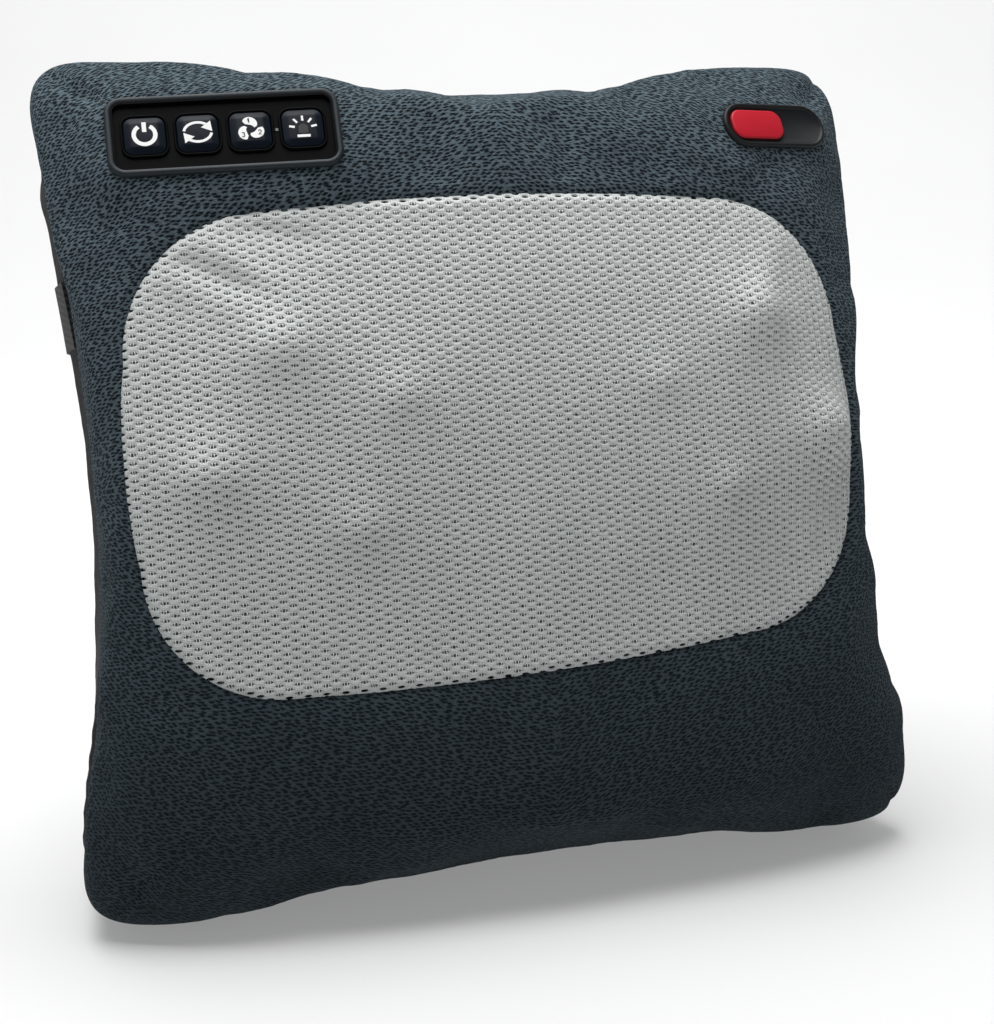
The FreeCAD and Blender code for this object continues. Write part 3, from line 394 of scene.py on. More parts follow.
def moulded(name, place, half_w, half_h, corner, profile, material, body=ROOT, centre=(0.0, 0.0), ring=False):
    """A solid of stacked round-cornered outlines; profile lists (inset, depth), and a ring is hollow."""
    points = []
    for inset, depth in profile:
        for u, v in round_box(half_w, half_h, corner, inset):
            points.append((u + centre[0], depth, v + centre[1]))
    size = len(round_box(half_w, half_h, corner, 0))
    rows = len(profile)
    faces = []
    for row in range(rows if ring else rows - 1):
        below, above = row * size, (row + 1) % rows * size
        for index in range(size):
            after = (index + 1) % size
            faces.append((below + index, below + after, above + after, above + index))
    if not ring:
        faces.append(tuple(range(size)))
        faces.append(tuple(range((rows - 1) * size, rows * size)))
    piece = build(name, place.points(points), faces, material, body)
    turn_outward(piece)
    return piece


def edited(piece, change):
    """Change the piece's mesh by a function of its bmesh."""
    opened = bmesh.new()
    opened.from_mesh(piece.data)
    change(opened)
    opened.to_mesh(piece.data)
    opened.free()


def turn_outward(piece):
    """Recalculate the face normals outwards."""
    edited(piece, lambda opened: bmesh.ops.recalc_face_normals(opened, faces=opened.faces))


def drop_loose(piece):
    """Remove points that no face uses."""
    edited(piece, lambda opened: bmesh.ops.delete(
        opened, geom=[point for point in opened.verts if not point.link_faces], context="VERTS"))


# ---------------------------------------------------------------- materials
class Recipe:
    """Shader nodes of one material."""

    def __init__(self, name):
        self.material = bpy.data.materials.new(name)
        self.material.use_nodes = True
        self.tree = self.material.node_tree
        self.surface = self.tree.nodes["Principled BSDF"]

    def feed(self, socket, value):
        if isinstance(value, bpy.types.NodeSocket):
            self.tree.links.new(value, socket)
        elif isinstance(value, tuple) and len(value) == 3 and socket.type == "RGBA":
            socket.default_value = (*value, 1.0)
        else:
            socket.default_value = value

    def node(self, kind, inputs=(), **settings):
        made = self.tree.nodes.new("ShaderNode" + kind)
        for key, value in settings.items():
            setattr(made, key, value)
        for key, value in dict(inputs).items():
            self.feed(made.inputs[key], value)
        return made

    def math(self, operation, first, second=0.5, clamp=False):
        made = self.node("Math", {0: first, 1: second}, operation=operation, use_clamp=clamp)
        return made.outputs[0]

    def mix(self, factor, first, second):
        made = self.node("Mix", {0: factor, 6: first, 7: second}, data_type="RGBA")
        return made.outputs[2]

    def ramp(self, value, low, high):
        """Smooth step of a value from low to high."""
        made = self.node("MapRange", {"Value": value, "From Min": low, "From Max": high},
                         interpolation_type="SMOOTHSTEP")
        return made.outputs[0]

    def place(self, scale=(1.0, 1.0, 1.0), attribute=None):
        """Coordinates in mm: a cloth attribute, or the object's own."""
        if attribute:
            source = self.node("Attribute", attribute_name=attribute).outputs["Vector"]
            factor = scale
        else:
            source = self.node("TexCoord").outputs["Object"]
            factor = tuple(s * 1000 for s in scale)
        return self.node("VectorMath", {0: source, 1: factor}, operation="MULTIPLY").outputs[0]

    def place_by(self, vector, factor):
        return self.node("VectorMath", {0: vector, 1: factor}, operation="MULTIPLY").outputs[0]

    def noise(self, vector, scale, detail=2.0, rough=0.5):
        made = self.node("TexNoise", {"Vector": vector, "Scale": scale, "Detail": detail, "Roughness": rough})
        return made.outputs["Fac"]

    def shift(self, vector, scale, amount):
        """The coordinates, moved about by a noise."""
        noise = self.node("TexNoise", {"Vector": vector, "Scale": scale, "Detail": 1.0}).outputs["Color"]
        centred = self.node("VectorMath", {0: noise, 1: (0.5, 0.5, 0.5)}, operation="SUBTRACT").outputs[0]
        moved = self.node("VectorMath", {0: centred, "Scale": amount}, operation="SCALE").outputs[0]
        return self.node("VectorMath", {0: vector, 1: moved}, operation="ADD").outputs[0]

    def split(self, vector):
        return self.node("SeparateXYZ", {0: vector}).outputs

    def bump(self, height, distance, strength=1.0):
        made = self.node("Bump", {"Height": height, "Distance": distance, "Strength": strength})
        self.feed(self.surface.inputs["Normal"], made.outputs[0])

    def total(self, *terms, plus=0.0, clamp=False):
        """Sum of (value, weight) pairs and a plain number."""
        made = plus
        for value, weight in terms:
            part = value if weight == 1 else self.math("MULTIPLY", value, weight)
            made = self.math("ADD", made, part, clamp=clamp and value is terms[-1][0])
        return made

    def wave(self, value, length):
        return self.math("SINE", self.math("MULTIPLY", value, 2 * math.pi / length), 0.0)

    def finish(self, tone, dark, light, **values):
        """Colour from dark to light by a tone from 0 to 1, and the surface's other inputs."""
        values["Base_Color"] = self.mix(tone, dark, light)
        for key, value in values.items():
            self.feed(self.surface.inputs[key.replace("_", " ")], value)
        return self.material


def knit_material():
    """Coarse brushed knit: rows of loops with short dark dashes between, and painted shade that darkens it
    towards the floor.

    Round the rim the rows go on over the wall: its depth adds to x on the sides, to z above and below.
    """
    recipe = Recipe("cover_knit_cloth_with_painted_shade")
    flat = recipe.place(attribute="weave")
    wander = recipe.split(recipe.shift(recipe.shift(flat, 0.25, 0.9), 0.7, 0.5))
    behind = recipe.math("MAXIMUM", recipe.math("ADD", wander[1], KNIT_TURN), 0.0)
    across, up = recipe.math("ABSOLUTE", wander[0]), recipe.math("ABSOLUTE", wander[2])
    beside = recipe.math("MULTIPLY", behind, recipe.math("GREATER_THAN", across, up))
    row = recipe.math("DIVIDE", recipe.math("ADD", up, recipe.math("SUBTRACT", behind, beside)), STITCH_H)
    aside = recipe.math("DIVIDE", recipe.math("ADD", across, beside), STITCH_W)
    aside = recipe.math("ADD", aside, recipe.math("MULTIPLY", row, 0.5))
    stitch = recipe.node("CombineXYZ", {"X": aside, "Y": row}).outputs["Vector"]
    gap = recipe.node("TexVoronoi", {"Vector": stitch, "Scale": 1.0, "Randomness": 0.6},
                      voronoi_dimensions="2D").outputs["Distance"]
    loops = recipe.noise(recipe.place_by(flat, (0.9, 1.4, 2.0)), 1.0, 3.0, 0.7)
    fuzz = recipe.noise(flat, 6.0, 2.0, 0.6)
    height = recipe.total((recipe.ramp(gap, 0.09, 0.52), 0.50), (loops, 0.70), (fuzz, 0.15))
    # Painted shade: the knit's colour darkens from the top down towards the floor, standing in for light from
    # above; the slow noise adds random patches of tone.
    rise = recipe.ramp(recipe.split(flat)[2], -170.0, 130.0)
    patchy_tone_and_painted_shade = recipe.total((recipe.noise(flat, 0.03, 2.0), 0.20), (rise, 0.78), plus=0.13)
    tone = recipe.math("POWER", recipe.ramp(height, 0.36, 1.25), 1.6)
    tone = recipe.math("MULTIPLY", tone, patchy_tone_and_painted_shade, clamp=True)
    recipe.bump(height, 1.2 * MM)
    return recipe.finish(tone, (0.0035, 0.0065, 0.0095), (0.172, 0.232, 0.268), Roughness=0.95,
                         Sheen_Weight=0.07, Sheen_Roughness=0.5, Sheen_Tint=(0.55, 0.72, 0.85, 1.0),
                         Specular_IOR_Level=0.10)


def mesh_material(name, light, dark, fine=1.0):
    """Air-mesh yarn: fine loops in wavy rows, with a soft sheen, and painted shade that makes it darker low
    down and lighter towards the top.
    """
    recipe = Recipe(name)
    flat = recipe.place(attribute="weave")
    axes = recipe.split(recipe.shift(flat, 0.5, 0.35))
    fibre = recipe.noise(recipe.place_by(flat, (0.6, 1.0, 2.6)), 1.6, 3.0, 0.65)
    height = recipe.total((recipe.wave(axes[2], 0.55 * fine), 0.22), (recipe.wave(axes[0], 0.8 * fine), 0.10),
                          (fibre, 1))
    # Painted shade: the mesh is darker low down and lighter towards the top, standing in for the light
    # falling from above.
    rise = recipe.math("POWER", recipe.ramp(axes[2], -90.0, 110.0), 1.8)
    tone = recipe.total((recipe.ramp(height, 0.1, 0.95), 0.6), (recipe.noise(flat, 0.03, 2.0), 0.20),
                        (rise, 0.36), plus=-0.08, clamp=True)
    recipe.bump(height, 0.22 * MM, 0.8)
    return recipe.finish(tone, dark, light, Roughness=0.62, Sheen_Weight=0.15, Sheen_Roughness=0.4,
                         Specular_IOR_Level=0.35)


def woven_material(name, light, dark, pitch, bump_mm, sheen=0.15, attribute="weave"):
    """Close weave of the given thread pitch in mm, nearly regular, the same on every side of the form."""
    recipe = Recipe(name)
    flat = recipe.place(attribute=attribute)
    threads = recipe.node("TexVoronoi", {"Vector": flat, "Scale": 1 / pitch, "Randomness": 0.55})
    fibre = recipe.noise(flat, 3.0 / pitch, 2.0, 0.6)
    height = recipe.total((fibre, 1), (threads.outputs["Distance"], -0.7))
    patch = recipe.total((recipe.noise(flat, 0.05, 2.0), 1), plus=0.6)
    tone = recipe.math("MULTIPLY", recipe.ramp(height, -0.4, 0.6), patch, clamp=True)
    recipe.bump(height, bump_mm * MM, 0.9)
    return recipe.finish(tone, dark, light, Roughness=0.85, Sheen_Weight=sheen, Sheen_Roughness=0.4,
                         Specular_IOR_Level=0.15)


def ribbed_material(name, light, dark, rib, bump_mm):
    """Woven tape: ribs along its length, crossed by fine weft threads."""
    recipe = Recipe(name)
    flat = recipe.place()
    axes = recipe.split(flat)
    weft = recipe.wave(recipe.math("ADD", axes[0], axes[1]), 0.9)
    fibre = recipe.noise(flat, 2.5, 2.0, 0.6)
    height = recipe.total((recipe.wave(axes[2], rib), 0.45), (weft, 0.20), (fibre, 1))
    recipe.bump(height, bump_mm * MM)
    return recipe.finish(recipe.ramp(height, -0.2, 1.1), dark, light, Roughness=0.8, Sheen_Weight=0.15,
                         Sheen_Roughness=0.4, Specular_IOR_Level=0.2)


def fuzzy_material(name, light, dark, grain, bump_mm):
    """Foam cells or hook-and-loop pile."""
    recipe = Recipe(name)
    flat = recipe.place()
    cells = recipe.node("TexVoronoi", {"Vector": flat, "Scale": 1 / grain, "Randomness": 1.0})
    height = recipe.total((cells.outputs["Distance"], 0.8), (recipe.noise(flat, 3 / grain, 2.0), 0.5))
    recipe.bump(height, bump_mm * MM, 0.9)
    return recipe.finish(recipe.ramp(height, 0.2, 0.9), dark, light, Roughness=0.95, Sheen_Weight=0.1,
                         Specular_IOR_Level=0.2)


def hard_material(name, colour, rough, metallic=0.0, grain=0.35, bump_mm=0.02, vary=0.12, coat=0.0,
                  streak=1.0, shine=0.5):
    """Moulded plastic, rubber or metal with a fine surface grain and slight wear."""
    recipe = Recipe(name)
    flat = recipe.place((1.0, streak, 1.0))
    fine = recipe.noise(flat, 1 / grain, 3.0, 0.6)
    wide = recipe.noise(flat, 0.06, 3.0, 0.6)
    darker = tuple(channel * (1 - vary) for channel in colour)
    lighter = tuple(min(channel * (1 + vary), 1.0) for channel in colour)
    recipe.bump(fine, bump_mm * MM, 0.6)
    return recipe.finish(recipe.total((fine, 0.4), (wide, 0.6)), darker, lighter, Metallic=metallic,
                         Roughness=recipe.total((wide, 0.16), plus=rough - 0.08), Coat_Weight=coat,
                         Specular_IOR_Level=shine)


MATERIALS = {
    "cover_knit": knit_material(),
    "air_mesh": mesh_material("air_mesh_yarn_with_painted_shade", (0.77, 0.795, 0.78), (0.36, 0.385, 0.38)),
    "back_fabric": woven_material("back_fabric_cloth", (0.022, 0.023, 0.026), (0.003, 0.003, 0.004),
                                  1.3, 0.30, sheen=0.06),
    "foam": fuzzy_material("foam_cells", (0.70, 0.66, 0.50), (0.40, 0.36, 0.24), 0.9, 0.25),
    "webbing": ribbed_material("webbing_cloth", (0.034, 0.034, 0.037), (0.003, 0.003, 0.004), 2.6, 0.30),
    "hook_and_loop": fuzzy_material("hook_and_loop_pile", (0.03, 0.03, 0.033), (0.004, 0.004, 0.005),
                                    0.6, 0.3),
    "zipper_tape": woven_material("zipper_tape_cloth", (0.035, 0.035, 0.04), (0.006, 0.006, 0.007), 0.8, 0.08,
                                  attribute=None),
    "zipper_plastic": hard_material("zipper_plastic", (0.012, 0.012, 0.014), 0.35),
    "zipper_metal": hard_material("zipper_metal", (0.42, 0.42, 0.44), 0.32, 1.0, 0.2, 0.01),
    "panel_black": hard_material("panel_rubber", (0.0018, 0.0019, 0.0024), 0.5, bump_mm=0.03, vary=0.3,
                                 shine=0.035),
    "button_navy": hard_material("button_rubber", (0.0030, 0.0056, 0.0112), 0.45, bump_mm=0.03, vary=0.2,
                                 shine=0.10),
    "circuit_board": hard_material("circuit_board", (0.02, 0.11, 0.05), 0.4, coat=0.3),
    "black_plastic": hard_material("black_plastic", (0.012, 0.012, 0.013), 0.4),
    "indicator": hard_material("indicator_lens", (0.03, 0.05, 0.05), 0.15, coat=0.5),
    "badge_black": hard_material("badge_rubber", (0.010, 0.012, 0.013), 0.5, bump_mm=0.05, vary=0.25,
                                 shine=0.2),
    "badge_red": hard_material("badge_red_rubber", (0.50, 0.012, 0.026), 0.45, bump_mm=0.04, shine=0.25),
    "housing_grey": hard_material("housing_plastic", (0.20, 0.205, 0.21), 0.5, bump_mm=0.05),
    "screw_steel": hard_material("screw_steel", (0.50, 0.50, 0.51), 0.3, 1.0, 0.15, 0.01),
    "motor_steel": hard_material("motor_steel", (0.44, 0.44, 0.45), 0.38, 1.0, 0.2, 0.01, streak=0.1),
    "shaft_steel": hard_material("shaft_steel", (0.58, 0.58, 0.59), 0.22, 1.0, 0.15, 0.005),
    "coupling_brass": hard_material("coupling_brass", (0.60, 0.42, 0.16), 0.3, 1.0, 0.2, 0.01),
    "gear_white": hard_material("gear_plastic", (0.74, 0.73, 0.68), 0.4),
    "arm_grey": hard_material("arm_plastic", (0.10, 0.105, 0.11), 0.45),
    "node_beige": hard_material("node_plastic", (0.62, 0.52, 0.38), 0.4),
    "lamp_lens": hard_material("lamp_lens_red", (0.45, 0.02, 0.02), 0.12, coat=0.6),
    "cable_black": hard_material("cable_jacket", (0.010, 0.010, 0.011), 0.5),
    "lead_red": hard_material("lead_jacket", (0.40, 0.015, 0.015), 0.45),
}
BACKING = mesh_material("air_mesh_backing_with_painted_shade", (0.52, 0.545, 0.545), (0.17, 0.18, 0.185), 1.6)
RIM_RUBBER = hard_material("panel_rim_rubber", (0.011, 0.016, 0.020), 0.5, bump_mm=0.05, vary=0.25,
                           shine=0.25)
SPACER = hard_material("spacer_yarn", (0.94, 0.96, 0.95), 0.30, grain=0.5, vary=0.05)
PRINT = hard_material("key_print", (0.80, 0.80, 0.79), 0.5, vary=0.05)
PRINT_GREY = hard_material("key_print_grey", (0.0045, 0.006, 0.009), 0.35, shine=0.3)
PRINT_DARK = hard_material("key_print_dark", (0.02, 0.02, 0.022), 0.5)


def paint_nodes():
    """Every carried-over CAD node takes its slot's material."""
    for node in NODES.values():
        for holder in node.material_slots:
            slot = holder.material.name.split(".")[0]
            holder.material = MATERIALS[slot]


# ---------------------------------------------------------------- cloth simulation of the padded form
HELD_Y = (-14.0, 50.0)             # the rim and the wall between these depths keep the plain form
NEAR = 4.0                         # held this far round the window, the keypad and the badge
PART_DEPTH = 25.0                  # a point within this depth of a moulded part is on the same face
PUFF_CAP = 2.4                     # the filling moves the cover by this much at most
VOXEL = 5.5 * MM
PRESSURE, LAST_STEP = 4.0, 20


def near_fixture(points):
    """True where the cover is held: seams, keypad, badge, straps, zipper, inlet and the floor."""
    x, y, z = points.T
    front, back = y < 0, y > HELD_Y[1]
    held = (y > HELD_Y[0]) & (y < HELD_Y[1])
    held |= front & (np.abs(window_distance(x, z)) < NEAR)
    for place, half_w, half_h in ((PANEL, PANEL_HALF_W, PANEL_HALF_H), (BADGE, BADGE_HALF_W, BADGE_HALF_H)):
        flat = place.flat(points)
        near = box_distance(flat[:, 0], flat[:, 2], half_w, half_h, 5.0) < NEAR
        held |= near & (np.abs(flat[:, 1]) < PART_DEPTH)
    held |= (y > 0) & (np.abs(z - STRAP_Z) < STRAP_W / 2 + 3)
    held |= back & (np.abs(z - ZIP_Z) < 18) & (x > ZIP_X0 - 6) & (x < ZIP_X1 + 6)
    held |= back & (np.hypot(x - INLET_X, z - INLET_Z) < 14)
    held |= to_row(points)[:, 2] < 6 * MM
    return held


def cloth_body():
    """The whole closed cushion as one plain mesh, ready to be remeshed."""
    angles = np.linspace(0, 2 * math.pi, 180, endpoint=False)
    front, _ = front_lines(angles, 80, to_window=False)
    back, _ = back_lines(angles, 80)
    grid = out_of_floor(np.concatenate([front, back[:, 1:]], axis=1)).reshape(len(angles), -1, 3)
    columns = grid.shape[1]
    faces = fold_faces(len(angles), columns)
    faces.append(tuple(row * columns for row in range(len(angles))))
    faces.append(tuple(row * columns + columns - 1 for row in range(len(angles))))
    piece = build("cloth_trial", grid.reshape(-1, 3), faces, MATERIALS["cover_knit"])
    turn_outward(piece)
    return piece


def applied(piece):
    """The piece's mesh once its modifiers are applied."""
    graph = bpy.context.evaluated_depsgraph_get()
    return bpy.data.meshes.new_from_object(piece.evaluated_get(graph), depsgraph=graph)


def blown_up():
    """Pressure-filled cloth: rest points and the move of each, capped."""
    piece = cloth_body()
    remesh = piece.modifiers.new("remesh", "REMESH")
    remesh.mode = "VOXEL"
    remesh.voxel_size = VOXEL
    mesh = applied(piece)
    piece.modifiers.clear()
    piece.data = mesh
    rest = to_cushion([v.co for v in mesh.vertices])
    held = piece.vertex_groups.new(name="held")
    held.add([int(i) for i in np.flatnonzero(near_fixture(rest))], 1.0, "REPLACE")
    cloth = piece.modifiers.new("cloth", "CLOTH")
    cloth.settings.use_pressure = True
    cloth.settings.uniform_pressure_force = PRESSURE
    cloth.settings.shrink_min = -0.02
    cloth.settings.vertex_group_mass = "held"
    cloth.settings.effector_weights.gravity = 0.0
    cloth.settings.quality = 6
    scene = bpy.context.scene
    for number in range(1, LAST_STEP + 1):
        scene.frame_set(number)
    blown = to_cushion([v.co for v in applied(piece).vertices])
    scene.frame_set(1)
    bpy.data.objects.remove(piece)
    move = blown - rest
    length = np.linalg.norm(move, axis=1, keepdims=True)
    return rest, move * np.minimum(1, PUFF_CAP / np.maximum(length, 1e-6))


class Puff:
    """The simulated move of the cover at any place, from the nearest simulated points."""

    def __init__(self):
        self.tree = None
        rest, self.move = blown_up()
        self.tree = KDTree(len(rest))
        for index, point in enumerate(rest):
            self.tree.insert(point, index)
        self.tree.balance()

    def at(self, points):
        made = np.zeros_like(points)
        if self.tree is None:
            return made
        for index, point in enumerate(points):
            total, move = 0.0, np.zeros(3)
            for _, found, distance in self.tree.find_n(point, 7):
                weight = 1 / (distance ** 2 + 6.0)
                total += weight
                move += weight * self.move[found]
            made[index] = move / total
        return made


# ---------------------------------------------------------------- covers
FRONT_GRID = (720, 120)            # lines round the form, and points along each
BACK_GRID = (540, 130)
BACK_BULGES = [((-155.0, 30.0, -100.0), 2.5, (30.0, 16.0, 55.0)),  # place, how proud, how wide
               ((146.0, 30.0, -146.0), 7.0, (40.0, 16.0, 30.0))]
SEAM_SINK, SEAM_WIDTH = 2.4, 2.2   # the covers dip into the seam between them
EDGE_SINK, EDGE_WIDTH = 1.3, 1.7   # and the knit into the seam round the window
SWELL, SWELL_AWAY, SWELL_WIDTH = 0.9, 9.0, 5.0  # the cover swells a little way out from a moulded part
UNDER = 2.2                        # the cover is left out this far under a moulded part
STRAP_LIFT = 1.8                   # the wall meets the strap


def seam_offset(seam, away):
    """How far a cover stands out near the seam: it dips into it, and is gathered in small puckers."""
    trail = np.cumsum(np.linalg.norm(np.roll(seam, -1, axis=0) - seam, axis=1))
    pucker = 0.35 * np.sin(trail * 2 * math.pi / 11 + 1.5 * np.sin(trail / 37))[:, None]
    return pucker * np.exp(-(away / 7) ** 2) - SEAM_SINK * np.exp(-(away / SEAM_WIDTH) ** 2)


def seat_on_place(points, place, half_w, half_h, corner, level, spread):
    """Press the cover to a moulded part's edge so that it meets the part evenly all round."""
    flat = place.flat(points)
    distance = box_distance(flat[:, 0], flat[:, 2], half_w, half_h, corner)
    near = np.abs(flat[:, 1]) < PART_DEPTH
    weight = np.where(near, np.exp(-(np.maximum(distance, 0) / spread) ** 2), 0)
    swell = np.where(near, SWELL * np.exp(-((distance - SWELL_AWAY) / SWELL_WIDTH) ** 2), 0)
    move = weight * (level - flat[:, 1]) - swell
    return points + move[:, None] * place.d, np.where(near, distance, 99.0)


def make_front_cover(puff):
    lines, columns = FRONT_GRID
    grid, lengths = front_lines(np.linspace(0, 2 * math.pi, lines, endpoint=False), columns)
    normals = grid_normals(grid, grid * np.array([1, 0.6, 1]) + np.array([0, -20, 0]))
    along = np.linspace(0, 1, columns)[None] * lengths[:, None]
    offset = seam_offset(grid[:, -1], lengths[:, None] - along)
    offset = offset - EDGE_SINK * np.exp(-(along / EDGE_WIDTH) ** 2)
    flat = grid.reshape(-1, 3)
    moved = flat + puff.at(flat) + (normals * offset[..., None]).reshape(-1, 3)
    moved, to_panel = seat_on_place(moved, PANEL, PANEL_HALF_W, PANEL_HALF_H, PANEL_CORNER, 0.5, 6.0)
    moved, to_badge = seat_on_place(moved, BADGE, BADGE_HALF_W, BADGE_HALF_H, BADGE_HALF_H - 0.1, 0.9, 5.0)
    rows = moved.reshape(lines, columns, 3)
    tuck = rows[:, 0] * np.array([0.978, 1, 0.966]) + np.array([0, 2.2, 0.34])
    inward = rows[:, -1] * np.array([0.975, 0, 0.975]) + np.array([0, SEAM_Y + 1.5, 0])
    rows = np.concatenate([tuck[:, None], rows, inward[:, None]], axis=1)
    cloth = np.concatenate([grid[:, :1], grid, grid[:, -1:]], axis=1)
    under = (np.minimum(to_panel, to_badge) + UNDER).reshape(lines, columns)
    under = np.concatenate([under[:, :1], under, under[:, -1:]], axis=1).ravel() < 0
    faces = [face for face in fold_faces(lines, columns + 2) if not all(under[i] for i in face)]
    piece = build("front_cover_padded", out_of_floor(rows.reshape(-1, 3)), faces, MATERIALS["cover_knit"],
                  cloth=cloth.reshape(-1, 3))
    drop_loose(piece)
    turn_outward(piece)
    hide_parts("front_cover", "foam_front")


def make_back_cover(puff):
    lines, columns = BACK_GRID
    grid, lengths = back_lines(np.linspace(0, 2 * math.pi, lines, endpoint=False), columns)
    normals = grid_normals(grid, grid * np.array([1, 0.6, 1]) + np.array([0, 20, 0]))
    offset = seam_offset(grid[:, 0], np.linspace(0, 1, columns)[None] * lengths[:, None])
    for place, proud, wide in BACK_BULGES:
        away = np.linalg.norm((grid - np.array(place)) / np.array(wide), axis=2)
        offset = offset + proud * np.exp(-away ** 2)
    on_wall = smooth_step(np.abs(grid[..., 0]), 120.0, 138.0) * (1 - smooth_step(grid[..., 1], 44.0, 56.0))
    offset = offset + STRAP_LIFT * on_wall * np.exp(-((grid[..., 2] - STRAP_Z) / 18) ** 2)
    flat = grid.reshape(-1, 3)
    moved = flat + puff.at(flat) + (normals * offset[..., None]).reshape(-1, 3)
    faces = fold_faces(lines, columns)
    faces.append(tuple(row * columns + columns - 1 for row in range(lines)))
    piece = build("back_cover_padded", out_of_floor(moved), faces, MATERIALS["back_fabric"], cloth=flat)
    turn_outward(piece)
    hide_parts("back_cover", "foam_back")


# ---------------------------------------------------------------- air-mesh window
# knobs under the mesh: x, z, how proud; creases: from, to, height and width
KNOBS = [(-88.0, 44.0, 8.6), (-48.5, 25.0, 4.6), (-66.0, -19.0, 4.0), (-114.0, 2.0, 7.2),
         (92.0, 47.0, 9.0), (117.0, 4.0, 9.0), (51.0, 25.0, 3.8), (74.0, -14.0, 4.8)]
KNOB_RADIUS = 15.0                 # of the ball that a knob lifts the mesh with
TENT_HALF_W, TENT_HALF_H = 144, 92  # of the grid, a little past the window
TENT_ROUNDS = 1500                 # enough for the membrane to settle
CREASES = [((-122.8, 79.7), (-97.1, 65.5), -1.7, 4.0), ((-102.6, 90.5), (-69.8, 81.1), -1.6, 4.5),
           ((-114.4, 86.2), (-84.0, 65.0), 1.1, 5.0), ((-128.9, 74.6), (-100.5, 55.4), 0.9, 5.5),
           ((113.2, 82.6), (91.9, 50.0), 1.0, 7.0), ((115.1, -31.1), (116.4, -46.0), -0.6, 3.0),
           ((97.8, -39.4), (104.0, -50.0), -0.6, 3.0)]


class Tent:
    """Height of the mesh stretched over the massage nodes, as a tight membrane, above the plain crown."""

    def __init__(self, step=2.0):
        self.step = step
        self.x = np.arange(-TENT_HALF_W, TENT_HALF_W + step, step)
        self.z = np.arange(MID_Z - TENT_HALF_H, MID_Z + TENT_HALF_H + step, step)
        x, z = np.meshgrid(self.x, self.z, indexing="ij")
        crown = crown_depth(x, z)
        least = crown - 0.6
        for knob_x, knob_z, proud in KNOBS:
            away = (x - knob_x) ** 2 + (z - knob_z) ** 2
            top = crown_depth(np.array(knob_x), np.array(knob_z)) + proud
            ball = top - KNOB_RADIUS + np.sqrt(np.maximum(KNOB_RADIUS ** 2 - away, 0))
            least = np.where(away < KNOB_RADIUS ** 2, np.maximum(least, ball), least)
        free = window_distance(x, z) < -1.5
        height = np.maximum(crown, np.where(free, least, crown))
        for _ in range(TENT_ROUNDS):
            middle = height[1:-1, 1:-1]
            mean = (height[2:, 1:-1] + height[:-2, 1:-1] + height[1:-1, 2:] + height[1:-1, :-2]) / 4
            pulled = np.maximum(mean, least[1:-1, 1:-1])
            height[1:-1, 1:-1] = np.where(free[1:-1, 1:-1], pulled, middle)
        self.rise = height - crown
        for _ in range(3):
            soft = self.rise.copy()
            soft[1:-1, 1:-1] = (self.rise[2:, 1:-1] + self.rise[:-2, 1:-1] + self.rise[1:-1, 2:]
                                + self.rise[1:-1, :-2] + 2 * self.rise[1:-1, 1:-1]) / 6
            self.rise = soft

    def at(self, x, z):
        across, up = (x - self.x[0]) / self.step, (z - self.z[0]) / self.step
        i = np.clip(across.astype(int), 0, len(self.x) - 2)
        j = np.clip(up.astype(int), 0, len(self.z) - 2)
        a, b = across - i, up - j
        rise = self.rise
        plain = (rise[i, j] * (1 - a) * (1 - b) + rise[i + 1, j] * a * (1 - b)
                 + rise[i, j + 1] * (1 - a) * b + rise[i + 1, j + 1] * a * b)
        return plain + creases(x, z)


def creases(x, z):
    """Small folds where the mesh is pulled towards its corners."""
    total = np.zeros_like(x)
    for (x0, z0), (x1, z1), depth, width in CREASES:
        length = math.hypot(x1 - x0, z1 - z0)
        way = ((x1 - x0) / length, (z1 - z0) / length)
        along = ((x - x0) * way[0] + (z - z0) * way[1]) / length
        aside = -(x - x0) * way[1] + (z - z0) * way[0]
        ends = np.exp(-(np.maximum(np.abs(along - 0.5) - 0.25, 0) / 0.28) ** 2)
        total += depth * ends * np.exp(-(aside / width) ** 2)
    return total


def window_points(x, z, rise, tent):
    """Points on the window for places in the rim plane, raised along the crown's own normal."""
    step = 0.5
    slope_x = (crown_depth(x + step, z) - crown_depth(x - step, z)) / (2 * step)
    slope_z = (crown_depth(x, z + step) - crown_depth(x, z - step)) / (2 * step)
    normal = np.stack([-slope_x, -np.ones_like(x), -slope_z], axis=1)
    normal /= np.linalg.norm(normal, axis=1, keepdims=True)
    distance = window_distance(x, z)
    edge = -1.5 * np.exp(-(np.minimum(distance, 0) / 1.8) ** 2)
    lift = tent.at(x, z) * np.clip(-distance / 6, 0, 1) + edge + rise
    return np.stack([x, -crown_depth(x, z), z], axis=1) + normal * (lift + 0.35)[:, None]


def mirrored(quarter):
    """A closed outline from its first quarter, which runs from the x axis to the z axis."""
    back = quarter[-2:0:-1]
    return (quarter + [(-x, z) for x, z in back + quarter[:1]] + [(-x, -z) for x, z in quarter[1:]]
            + [(x, -z) for x, z in back])


HEX = mirrored([(2.003, 0.0), (1.65, 0.7625), (1.298, 1.525), (0.0, 1.525)])  # cell round a hole
EYE = mirrored([(1.38, 0.0), (1.12, 0.29), (0.66, 0.47), (0.0, 0.55)])        # the almond hole
HEX_RISE = [-0.05, 0.10, 0.22, 0.30, 0.22, 0.10] * 2


def hole_centres():
    made = []
    rows = int((WINDOW_HALF_H + 10) / HOLE_ROW)
    columns = int((WINDOW_HALF_W + 12) / HOLE_PITCH)
    for row in range(-rows, rows + 1):
        for column in range(-columns - 1, columns + 1):
            made.append((HOLE_PITCH * (column + 0.5 * (row % 2)), MID_Z + HOLE_ROW * row))
    made = np.array(made)
    return made[window_distance(made[:, 0], made[:, 1]) < 1.9]


